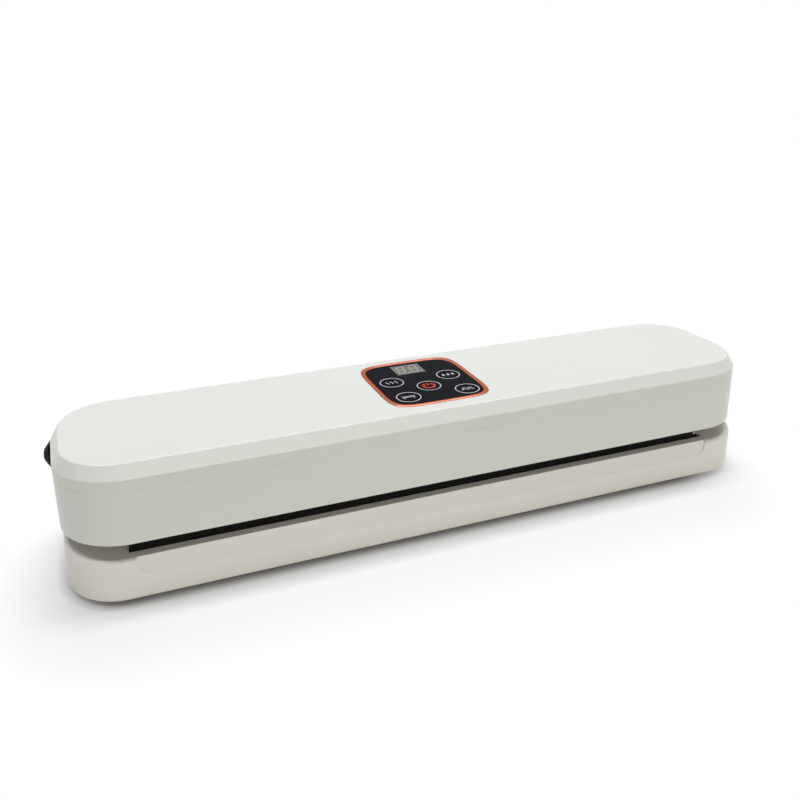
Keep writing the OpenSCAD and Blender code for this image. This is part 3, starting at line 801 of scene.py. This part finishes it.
def add_hinge(obj, of_lid, web_reach, low, high, pin_hole):
    """Clears the other side's knuckles, then adds this side's webs and knuckles and bores them."""
    carve(obj, lambda bm: barrels(bm, not of_lid, KNUCKLE_CLEARANCE))
    carve(obj, lambda bm: webs(bm, of_lid, web_reach, low, high), "UNION")
    carve(obj, lambda bm: barrels(bm, of_lid), "UNION")
    carve(obj, lambda bm: pin_holes(bm, pin_hole))


# ---- operators ------------------------------------------------------------------------


class SEALER_OT_tray(Operator):
    """Base tray: deck, finger scoop, strip slot, vacuum trough, gasket groove and knuckles"""

    bl_idname = "sealer.tray"
    bl_label = "Base tray"

    def execute(self, context):
        tray = context.scene.sealer_tray
        half = (TRAY_HIGH.x - TRAY_LOW.x) / 2
        depth = -TRAY_LOW.y
        cx, cy = half - tray.corner, depth - tray.corner
        deck, foot = tray.deck, tray.foot
        deck_wall, brim_rise = 2.4 * MM, 1.6 * MM
        ceiling = deck - deck_wall

        def radius(z):
            return tray.corner - tray.lean * (z - foot) / (deck - foot)

        def shell(bm):
            r0, r1, brim = radius(foot), radius(deck), foot + brim_rise
            profile = [
                (r1 - tray.wall, ceiling), (r0 - tray.wall, foot), (r0 - 0.1 * MM, foot),
                (radius(brim), brim), (r1, deck), (0.0, deck),
            ]
            outer = soften(profile, {2: 0.9 * MM, 4: tray.edge}, 12)
            support = Vector((outer[-2].x - 0.4 * MM, deck))
            loft(bm, storeys(cx, cy, [*outer[:-1], support]))

        def inner_walls(bm):
            top, case, thick = deck - 1 * MM, 157 * MM, 2 * MM
            block(bm, (-case, -40 * MM, deck - 10.9 * MM), (case, -28.3 * MM, top))
            end, side = tray.trough_length / 2 + thick, tray.trough_width / 2 + thick
            low = deck - tray.trough_depth - thick
            block(bm, (-end, CHAMBER_Y - side, low), (end, side + CHAMBER_Y, top))

        def scoop(bm):
            """Stations along the length, each a wedge; its lower corners are rounded."""
            reach, corner = tray.scoop_length / 2, tray.scoop_corner
            low = deck - tray.scoop_height
            front = -cy - radius(low)
            arc, stations, past = 8, 32, 3 * MM
            ends = [reach - corner * (1 - math.cos(math.pi / 2 * i / arc)) for i in range(arc + 1)]
            middle = [reach - corner - (2 * reach - 2 * corner) * i / stations for i in range(1, stations)]
            loops = []
            for x in [*ends, *middle, *[-e for e in reversed(ends)]]:
                over = max(0.0, abs(x) - (reach - corner))
                rise = corner - math.sqrt(max(0.0, corner**2 - over**2))
                back = -depth + tray.scoop_depth - tray.scoop_bow * (x / reach) ** 2
                slope = tray.scoop_height / (back - front)
                loops.append([
                    Vector((x, back + past / slope, deck + past)), Vector((x, front - past, deck + past)),
                    Vector((x, front - past, low + rise)), Vector((x, front + rise / slope, low + rise)),
                ])
            loft(bm, loops)

        def hollows(bm):
            slot_y, slot_half = (STRIP_LOW.y + STRIP_HIGH.y) / 2, 2.4 * MM
            slot_end, slot_depth = 0.15 * MM, 8.9 * MM
            block(bm, (STRIP_LOW.x - slot_end, slot_y - slot_half, deck - slot_depth),
                  (STRIP_HIGH.x + slot_end, slot_y + slot_half, deck + PAST))
            corner, floor = 5 * MM, deck - tray.trough_depth
            end, side = tray.trough_length / 2 - corner, tray.trough_width / 2 - corner
            basin = soften([(0.0, floor), (4.4 * MM, floor), (corner, deck + PAST)], {1: 2.2 * MM}, 12)
            loft(bm, storeys(end, side, basin[1:], 12, CHAMBER_SHIFT))

        def groove(bm):
            ring_loops(bm, deck - GROOVE_DEPTH, deck + PAST, 0.0)

        obj = build("tray_housing", shell)
        carve(obj, inner_walls, "UNION")
        carve(obj, scoop)
        carve(obj, hollows)
        carve(obj, groove)
        round_edges(obj, tray.soft)
        add_hinge(obj, False, 5 * MM, foot + 12 * MM, HINGE.z - 0.2 * MM, PIN_HOLE_IN_TRAY)
        paint = moulded_gloss("tray_plastic", tuple(context.scene.sealer_colours.cream), 0.34)
        dress(obj, paint, "base", ("base_housing",), crease=8.5)
        return {"FINISHED"}


def ring_loops(bm, z0, z1, soft=GASKET_SOFT):
    """A gasket's ring, or its groove; it follows the outline of the vacuum chamber."""
    cx, cy, mid = 148 * MM, 15 * MM, 8 * MM
    a, b = mid - GASKET_WIDTH / 2, mid + GASKET_WIDTH / 2
    profile = [(a, z0), (b, z0), (b, z1), (a, z1)]
    if soft:
        profile = soften(profile, {i: soft for i in range(4)}, 4)
    loft(bm, storeys(cx, cy, profile, 10, CHAMBER_SHIFT), wrap=True)


class SEALER_OT_seals(Operator):
    """Silicone press strip and the two foam gaskets"""

    bl_idname = "sealer.seals"
    bl_label = "Strip and gaskets"

    def execute(self, context):
        deck = context.scene.sealer_tray.deck
        silicone = soft_rubber("silicone", (0.006, 0.0055, 0.005), 0.5, shine=0.04)
        foam = cell_foam("foam", (0.03, 0.03, 0.032))

        def strip(bm):
            half, middle, top = 2 * MM, (STRIP_HIGH.y + STRIP_LOW.y) / 2, STRIP_HIGH.z
            root, shoulder = deck - 1.1 * MM, deck + 1.2 * MM
            slim, neck, crown = half - 0.3 * MM, shoulder + 0.4 * MM, 1.1 * MM
            profile = [(-half, root), (half, root), (half, shoulder), (slim, neck), (slim, top),
                       (-slim, top), (-slim, neck), (-half, shoulder)]
            section = soften(profile, {4: crown, 5: crown})
            low_end, high_end, loops = -152.2 * MM, 146 * MM, []
            taper = ((0.0, 0.8), (0.18 * MM, 0.93), (0.6 * MM, 1.0))
            stations = [(low_end + inset, k) for inset, k in taper]
            stations += [(high_end - inset, k) for inset, k in reversed(taper)]
            for x, k in stations:
                rise = 0.8 + 0.2 * k
                loops.append([Vector((x, middle + p.x * k, root + (p.y - root) * rise)) for p in section])
            loft(bm, loops)

        def strip_foot(bm):
            block(bm, tuple(STRIP_LOW), (STRIP_HIGH.x, STRIP_HIGH.y, deck - 1 * MM))

        dress(build("silicone_strip", strip), silicone, "base", ("press_strip",))
        foot = build("strip_foot", strip_foot)
        round_edges(foot, 0.3 * MM)
        dress(foot, silicone, "base")
        lower = build("tray_gasket", lambda bm: ring_loops(bm, RING_LOW.z, RING_HIGH.z))
        dress(lower, foam, "base", ("lower_gasket",))
        rise, seat = RING_HIGH.z + 0.4 * MM, RIM_LEVEL + 6.6 * MM
        upper = build("lid_gasket", lambda bm: ring_loops(bm, rise, seat), tilted=True)
        dress(upper, foam, "lid", ("upper_gasket",))
        return {"FINISHED"}


def panel_outline(panel, inset, steps):
    """The panel's outline, drawn in by the inset."""
    return bowed(panel.width / 2 - inset, panel.depth / 2 - inset, steps, middle=(0.0, panel.back))


class LidShape:
    """Corner centres and radii of the lid, worked out from its sizes."""

    def __init__(self, lid):
        self.cx = lid.length / 2 - lid.corner
        self.cy = lid.depth / 2 - lid.corner
        self.rim = RIM_LEVEL
        self.chamfer = self.rim + lid.wall_height
        self.top = self.chamfer + lid.chamfer_height
        self.parting = self.chamfer - lid.parting
        self.corner = lid.corner
        self.slope = lid.lean / lid.wall_height

    def radius(self, z):
        return self.corner - self.slope * (z - self.rim)

    def at_gland(self):
        """Places a lathe along the lead entry, from the wall's outside inwards."""
        z = GLAND_LEVEL
        wall = self.radius(z)
        angle = math.asin((GLAND_Y - self.cy) / wall)
        spin = Matrix.Rotation(-angle, 4, "Z")
        return Matrix.Translation((-self.cx, self.cy, z)) @ spin @ along_x(-wall, 0.0, 0.0)


class SEALER_OT_lid_cover(Operator):
    """Lid top cover: chamfered top with the recess for the control panel"""

    bl_idname = "sealer.lid_cover"
    bl_label = "Lid top cover"

    def execute(self, context):
        lid, panel = context.scene.sealer_lid, context.scene.sealer_panel
        s = LidShape(lid)
        wall = lid.wall
        r0, r1 = s.radius(s.parting), s.radius(s.chamfer)
        r2 = r1 - lid.chamfer_width
        ceiling = s.top - wall

        def shape(bm):
            foot = s.chamfer - 0.6 * MM
            inside = [(r2 - wall + 0.8 * MM, ceiling), (r1 - wall, foot), (r0 - wall, s.parting)]
            nick = lid.joint_gap
            profile = [(r0 - nick, s.parting), (r0, s.parting + nick), (r1, s.chamfer), (r2, s.top),
                       (r2 - 1.6 * MM, s.top)]
            outside = soften(profile, {1: nick * NICK_SOFT, 2: lid.low_soft, 3: lid.top_soft}, 7)
            loops = storeys(s.cx, s.cy, [*inside, *outside], LID_STEPS)
            recess = [(0.5, 0.0), (0.18, 0.0), (0.05, -0.05), (0.0, -0.18), (0.0, -1.5), (-2.6, -1.5),
                      (-2.6, -2.5)]
            for grow, drop in recess:
                loops.append(at_level(panel_outline(panel, -grow * MM, LID_STEPS), s.top + drop * MM))
            loft(bm, loops, wrap=True)

        obj = build("lid_cover", shape, tilted=True)
        paint = moulded_gloss("lid_cover_plastic", tuple(context.scene.sealer_colours.white), 0.3)
        dress(obj, paint, "lid", ("lid_top_cover",), crease=26.0)
        return {"FINISHED"}


class SEALER_OT_lid_wall(Operator):
    """Lid housing: the side wall with its ledge, knuckles and lead hole"""

    bl_idname = "sealer.lid_wall"
    bl_label = "Lid housing"

    def execute(self, context):
        lid = context.scene.sealer_lid
        s = LidShape(lid)
        wall = lid.wall
        low = s.rim + 8.6 * MM
        ledge, high = 1.2 * MM, low + 1.5 * MM

        def shape(bm):
            r0, r1, rl = s.radius(s.rim), s.radius(s.parting), s.radius(low)
            nick = lid.joint_gap
            profile = [
                (r0, s.rim), (r1, s.parting - nick), (r1 - nick, s.parting), (r1 - wall, s.parting),
                (rl - wall, high), (rl - wall - ledge, high), (rl - wall - ledge, low), (rl - wall, low),
                (r0 - wall, s.rim),
            ]
            outline = soften(profile, {0: 0.35 * MM, 1: nick * NICK_SOFT, 8: 0.4 * MM})
            loft(bm, storeys(s.cx, s.cy, outline, LID_STEPS), wrap=True)

        obj = build("lid_wall", shape)
        add_hinge(obj, True, 3.5 * MM, HINGE.z, HINGE.z + 5 * MM, PIN_HOLE_IN_LID)
        hole = [(GLAND_HOLE, -4 * MM), (GLAND_HOLE, 7 * MM)]
        carve(obj, lambda bm: lathe(bm, hole, TURNED_STEPS, s.at_gland()))
        obj.data.transform(TILT)
        paint = moulded_gloss("lid_wall_plastic", tuple(context.scene.sealer_colours.white), 0.3)
        dress(obj, paint, "lid", ("lid_housing",))
        return {"FINISHED"}


class SEALER_OT_panel(Operator):
    """Copper bezel and gloss fascia"""

    bl_idname = "sealer.panel"
    bl_label = "Bezel and fascia"

    def execute(self, context):
        panel, colours = context.scene.sealer_panel, context.scene.sealer_colours
        rim = panel.rim

        def steps(section, inset=0.0, stretch=1.0):
            """The panel's outline at each step of a section given in millimetres."""
            return [at_level(panel_outline(panel, inset + i * stretch * MM, PANEL_STEPS), PANEL_SEAT + z * MM)
                    for i, z in section]

        def bezel(bm):
            section = [(0.12, 0.0), (0.12, 1.45), (0.2, 1.68), (0.45, 1.88), (0.85, 1.98), (1.3, 1.98),
                       (1.75, 1.9), (2.0, 1.76), (2.1, 1.5), (2.3, 1.2), (2.3, 0.0)]
            loft(bm, steps(section, stretch=rim / (section[-1][0] * MM)), wrap=True)

        def fascia(bm):
            loft(bm, steps([(0.0, 0.0), (0.0, 1.45), (0.1, 1.55)], rim + 0.12 * MM))

        def openings(bm):
            low, hole = PANEL_SEAT - PAST, panel.key_radius + 0.22 * MM
            for x, y in KEYS.values():
                lathe(bm, [(hole, 0.0), (hole, CUT_HEIGHT)], 64, Matrix.Translation((x, y, low)))
            block(bm, (WINDOW_X[0], WINDOW_Y[0], low), (WINDOW_X[1], WINDOW_Y[1], PANEL_SEAT + CUT_HEIGHT))

        ring = build("copper_bezel", bezel, tilted=True)
        copper = plated("copper_plate", tuple(colours.copper))
        dress(ring, copper, "lid", ("panel_bezel",), crease=40.0)
        face = build("gloss_fascia", fascia)
        carve(face, openings)
        face.data.transform(TILT)
        gloss = gloss_print("fascia_gloss", tuple(colours.gloss))
        dress(face, gloss, "lid", ("panel_fascia",))
        return {"FINISHED"}


class SEALER_OT_display(Operator):
    """Display window with its frame and unlit seven-segment digits"""

    bl_idname = "sealer.display"
    bl_label = "Display"

    def execute(self, context):
        panel, colours = context.scene.sealer_panel, context.scene.sealer_colours
        top = FASCIA_LEVEL - PRINT_SINK
        x0, x1, y0, y1 = *WINDOW_X, *WINDOW_Y

        def window(bm):
            gap = 0.06 * MM
            block(bm, (x0 + gap, y0 + gap, PANEL_SEAT), (x1 - gap, y1 - gap, top))

        def border(bm):
            width = 0.45 * MM
            near, far = 0.5 * width, 1.5 * width
            bars = [(x0 + near, x0 + far, y0 + near, y1 - near), (x1 - far, x1 - near, y0 + near, y1 - near),
                    (x0 + far, x1 - far, y0 + near, y0 + far), (x0 + far, x1 - far, y1 - far, y1 - near)]
            for a, b, c, d in bars:
                block(bm, (a, c, top - PRINT_SINK), (b, d, top + 0.03 * MM))

        def digits(bm):
            height, wide, thick = panel.digit_height, 4.4 * MM, 0.95 * MM
            pitch = (x1 - x0 - 1.5 * MM) / panel.digits
            lean = math.tan(math.radians(6))
            mid_y = (y0 + y1) / 2
            dot_gap, dot_rise, dot_radius, dot_steps = 0.95 * MM, 0.1 * MM, 0.5 * MM, 16
            for n in range(panel.digits):
                mid_x = x0 + 1.0 * MM + pitch * (n + 0.5) - 0.5 * MM
                outlines = [[Vector((mid_x + p.x + lean * p.y, mid_y + p.y)) for p in bar]
                            for bar in seven_bars(wide, height, thick)]
                dot = (mid_x + wide / 2 + dot_gap - lean * height / 2, mid_y - height / 2 + dot_rise)
                outlines.append(circle(dot, dot_radius, dot_steps))
                for outline in outlines:
                    slab(bm, outline, top - PRINT_SINK, top + PRINT_SINK)

        pane = build("display_pane", window, tilted=True)
        dress(pane, smoked("smoked_pane", (0.088, 0.090, 0.092)), "lid", ("display_window",))
        trim = build("display_border", border, tilted=True)
        dress(trim, ink("border_print", (0.27, 0.27, 0.28)), "lid")
        marks = build("display_digits", digits, tilted=True)
        dress(marks, ink("digit_print", tuple(colours.digit)), "lid")
        return {"FINISHED"}


def seven_bars(wide, height, thick):
    """Outlines of the seven bars of one digit, centred on the origin."""
    gap = 0.12 * MM
    bars = []

    def bar(x, y, reach, upright):
        half, tip = reach / 2 - gap, thick / 2
        flat = [(-half, 0), (-half + tip, -tip), (half - tip, -tip), (half, 0), (half - tip, tip),
                (-half + tip, tip)]
        bars.append([Vector((x, y)) + Vector((-b, a) if upright else (a, b)) for a, b in flat])

    span_x, span_y = wide - thick, (height - thick) / 2
    for level in (-1, 0, 1):
        bar(0, level * span_y, span_x, False)
    for side in (-1, 1):
        for level in (-0.5, 0.5):
            bar(side * span_x / 2, level * span_y, span_y, True)
    return bars


class SEALER_OT_keys(Operator):
    """The five round keys with their printed rings and marks"""

    bl_idname = "sealer.keys"
    bl_label = "Keys"

    def execute(self, context):
        panel, colours = context.scene.sealer_panel, context.scene.sealer_colours
        gloss = gloss_print("key_gloss", shade(tuple(colours.gloss), 0.6), 0.14)
        white = ink("key_print", tuple(colours.mark))
        red = ink("power_print", tuple(colours.red), 0.35)
        r = panel.key_radius
        low, top = TOP_LEVEL - 3.4 * MM, KEY_TOP
        print_low, print_high = top - PRINT_SINK, top + 0.04 * MM
        shoulder, flange_low, flange_high = r + 0.6 * MM, TOP_LEVEL - 2.6 * MM, TOP_LEVEL - 1.85 * MM
        stem = 2.2 * MM
        draw = {"power_key": power_mark, "moist_key": drops, "pulse_key": pulses, "seal_key": seal_bars,
                "dry_key": warm_lines}
        for name, (x, y) in KEYS.items():
            node_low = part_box(name)[0]

            def cap(bm):
                foot = node_low.z - (TILT @ Vector((x, y, low))).z + low
                profile = [(stem, max(foot, low - 1.2 * MM)), (stem, flange_low), (shoulder, flange_low),
                           (shoulder, flange_high), (r, flange_high), (r, top - 0.16 * MM),
                           (r - 0.05 * MM, top - 0.05 * MM), (r - 0.18 * MM, top)]
                lathe(bm, profile, KEY_STEPS, Matrix.Translation((x, y, 0)))

            def ring(bm):
                outer = r - 0.2 * MM
                annulus(bm, (x, y), outer - panel.ring_width, outer, print_low, print_high, KEY_STEPS)

            def mark(bm):
                draw[name](bm, x, y, print_low, print_high)

            body = build(name + "_cap", cap, tilted=True)
            dress(body, gloss, name, (name,))
            dress(build(name + "_ring", ring, tilted=True), white, name)
            paint = red if name == "power_key" else white
            dress(build(name + "_mark", mark, tilted=True), paint, name)
        return {"FINISHED"}


def power_mark(bm, x, y, z0, z1):
    """Open ring with an upright bar in its gap."""
    radius, gap, steps = 2.8 * MM, math.radians(30), 40
    path = []
    for i in range(steps + 1):
        a = math.pi / 2 + gap + (2 * math.pi - 2 * gap) * i / steps
        path.append(Vector((x, y)) + radius * turn(a))
    stroke(bm, path, 1.5 * MM, z0, z1)
    stroke(bm, [(x, y + 0.6 * MM), (x, y + 3.6 * MM)], 1.1 * MM, z0, z1)


def drops(bm, x, y, z0, z1):
    """Three small water drops."""
    for shift in (-2.6, 0.0, 2.6):
        centre = Vector((x + shift * MM, y - 0.25 * MM))
        radius = 0.85 * MM
        outline = [centre + radius * turn(math.radians(a)) for a in range(-210, 31, 20)]
        outline.append(centre + Vector((0, 2.0 * MM)))
        slab(bm, outline, z0, z1)


def pulses(bm, x, y, z0, z1):
    """Square wave."""
    step, high = 1.45 * MM, 1.1 * MM
    path = []
    for i in range(5):
        level = high if i % 2 else -high
        path += [(x + (i - 2.5) * step, y + level), (x + (i - 1.5) * step, y + level)]
    stroke(bm, path, 0.5 * MM, z0, z1)


def seal_bars(bm, x, y, z0, z1):
    """A bag's end with two seal lines."""
    half, inset = 3.4 * MM, 2.6 * MM
    for level in (1.0, -0.1):
        stroke(bm, [(x - half, y + level * MM), (x + half, y + level * MM)], 0.55 * MM, z0, z1)
    for side in (-1, 1):
        at = x + side * inset
        stroke(bm, [(at, y - 0.6 * MM), (at, y - 1.7 * MM)], 0.5 * MM, z0, z1)


def warm_lines(bm, x, y, z0, z1):
    """Three rising waves of warm air."""
    swing, height, steps = 0.42 * MM, 3.0 * MM, 12
    for shift in (-2.3, 0.0, 2.3):
        path = []
        for i in range(steps + 1):
            t = i / steps
            path.append((x + shift * MM + swing * math.sin(2 * math.pi * t), y + (t - 0.5) * height))
        stroke(bm, path, 0.55 * MM, z0, z1)


class SEALER_OT_gland(Operator):
    """Ribbed black cord gland on the lid's left end"""

    bl_idname = "sealer.gland"
    bl_label = "Cord gland"

    def execute(self, context):
        place = LidShape(context.scene.sealer_lid).at_gland()

        def shape(bm):
            profile = [(2.7, 6.3), (2.7, -3.8), (2.85, -4.0), (3.1, -4.0), (3.45, -3.75), (6.85, -1.1),
                       (7.0, -0.9), (7.0, -0.3), (3.9, -0.3), (3.9, 3.3), (6.1, 3.3), (5.5, 6.3)]
            steps, depth, loops = 72, 0.06, []
            for radius, height in profile:
                ring = []
                for i in range(steps):
                    in_groove = -3.9 < height < -0.8 and (i // 4) % 3 == 0
                    at = radius * (1 - (depth if in_groove else 0.0)) * MM * turn(2 * math.pi * i / steps)
                    ring.append(place @ Vector((at.x, at.y, height * MM)))
                loops.append(ring)
            loft(bm, loops, wrap=True)

        obj = build("lead_gland", shape, tilted=True)
        nylon = soft_rubber("gland_nylon", (0.004, 0.004, 0.0045), 0.4, shine=0.03)
        dress(obj, nylon, "lid", ("cord_gland",))
        return {"FINISHED"}


class SEALER_OT_finishes(Operator):
    """Finishes of the construction parts that are shown as they are"""

    bl_idname = "sealer.finishes"
    bl_label = "Finishes of carried parts"

    def execute(self, context):
        for name, (maker, settings, nodes) in CARRIED.items():
            material = maker(name, *settings)
            for node in nodes:
                mesh = frame["nodes"][node].data
                mesh.materials.clear()
                mesh.materials.append(material)
        return {"FINISHED"}


class SEALER_OT_stage(Operator):
    """Camera, plain floor with a painted contact shadow round the tray's foot, soft lights and white
    surroundings
    """

    bl_idname = "sealer.stage"
    bl_label = "Stage"

    def execute(self, context):
        self.camera(context)
        self.floor(context.scene.sealer_tray)
        self.lights(context)
        self.surroundings(context)
        return {"FINISHED"}

    def camera(self, context):
        azimuth, elevation, roll = (math.radians(a) for a in CAMERA_ANGLES)
        forward = Vector((-math.sin(azimuth) * math.cos(elevation), math.cos(azimuth) * math.cos(elevation),
                          -math.sin(elevation)))
        level = Vector((math.cos(azimuth), math.sin(azimuth), 0.0))
        upright = level.cross(forward)
        right = level * math.cos(roll) + upright * math.sin(roll)
        up = upright * math.cos(roll) - level * math.sin(roll)
        lens = bpy.data.cameras.new("camera")
        lens.lens = CAMERA_LENS
        lens.sensor_width = SENSOR_WIDTH
        lens.clip_start = 0.01
        lens.clip_end = 50.0
        obj = bpy.data.objects.new("camera", lens)
        facing = Matrix((right, up, -forward)).transposed().to_4x4()
        obj.matrix_world = Matrix.Translation(CAMERA_SPOT) @ facing
        context.scene.collection.objects.link(obj)
        context.scene.camera = obj

    def floor(self, tray):
        def shape(bm):
            corners = ((-1, -1), (1, -1), (1, 1), (-1, 1))
            bm.faces.new([bm.verts.new((x * FLOOR_REACH, y * FLOOR_REACH, FLOOR_LEVEL)) for x, y in corners])

        obj = build("floor", shape)
        r = Recipe("floor_white")
        plain = r.node("ShaderNodeBsdfDiffuse", {}, {"Color": (0.76, 0.745, 0.70)})
        near = r.node("ShaderNodeBsdfDiffuse", {}, {"Color": (0.88, 0.885, 0.90)})
        white = r.node("ShaderNodeEmission", {}, {"Color": (1.0, 1.0, 1.0), "Strength": 1.0})
        # A darker diffuse painted on the floor close round the tray's footprint: a painted contact shadow.
        under = r.node("ShaderNodeBsdfDiffuse", {}, {"Color": (0.32, 0.315, 0.31)})
        corner = tray.corner
        straight = (TRAY_HIGH.x - corner, -TRAY_LOW.y - corner, 1.0)
        # Mask of the painted contact shadow: 0 under the tray, rising to 1 a few millimetres out from its
        # edge.
        clear = ((r.outside((0.0, 0.0, 0.0), straight) - (corner + CONTACT_SHADOW_START)) / CONTACT_SHADOW_REACH).clipped()
        far = (r.outside(SHADOW_CENTRE, SHADOW_HALF) / SHADOW_REACH).clipped() ** SHADOW_FADE
        seen = r.mix(far, r.mix(clear, under, near), white)
        obj.data.materials.append(r.finish(r.by_ray(plain, seen)))

    def lights(self, context):
        for name, spot, aim, (wide, deep), power, colour in LAMPS:
            lamp = bpy.data.lights.new(name, "AREA")
            lamp.shape = "RECTANGLE"
            lamp.size, lamp.size_y = wide, deep
            lamp.energy = power
            lamp.color = colour
            obj = bpy.data.objects.new(name, lamp)
            obj.location = spot
            obj.rotation_euler = (Vector(aim) - Vector(spot)).to_track_quat("-Z", "Y").to_euler()
            context.scene.collection.objects.link(obj)

    def surroundings(self, context):
        r = Recipe("surroundings", world=True)
        soft = r.node("ShaderNodeBackground", {}, {"Color": (0.99, 0.995, 1.0), "Strength": ROOM_LIGHT})
        white = r.node("ShaderNodeBackground", {}, {"Color": (1.0, 1.0, 1.0), "Strength": 1.0})
        context.scene.world = r.finish(r.by_ray(soft, white))
        context.scene.view_settings.view_transform = "Standard"


class SEALER_PT_sidebar(Panel):
    """Lists the sealer's pieces"""

    bl_label = "Vacuum sealer"
    bl_idname = "SEALER_PT_sidebar"
    bl_space_type = "VIEW_3D"
    bl_region_type = "UI"
    bl_category = "Sealer"

    def draw(self, context):
        layout = self.layout
        for attribute, group in GROUPS:
            box = layout.box()
            box.label(text=group.__doc__)
            for name in group.__annotations__:
                box.prop(getattr(context.scene, attribute), name)
        for operator in OPERATORS:
            layout.operator(operator.bl_idname)


OPERATORS = (
    SEALER_OT_stage,
    SEALER_OT_finishes,
    SEALER_OT_tray,
    SEALER_OT_seals,
    SEALER_OT_lid_cover,
    SEALER_OT_lid_wall,
    SEALER_OT_panel,
    SEALER_OT_display,
    SEALER_OT_keys,
    SEALER_OT_gland,
)


def register():
    for attribute, group in GROUPS:
        bpy.utils.register_class(group)
        setattr(bpy.types.Scene, attribute, PointerProperty(type=group))
    for operator in (*OPERATORS, SEALER_PT_sidebar):
        bpy.utils.register_class(operator)


def unregister():
    for operator in reversed((*OPERATORS, SEALER_PT_sidebar)):
        bpy.utils.unregister_class(operator)
    for attribute, group in reversed(GROUPS):
        delattr(bpy.types.Scene, attribute)
        bpy.utils.unregister_class(group)


def main():
    register()
    for operator in OPERATORS:
        family, name = operator.bl_idname.split(".")
        getattr(getattr(bpy.ops, family), name)()


if __name__ == "__main__":
    main()
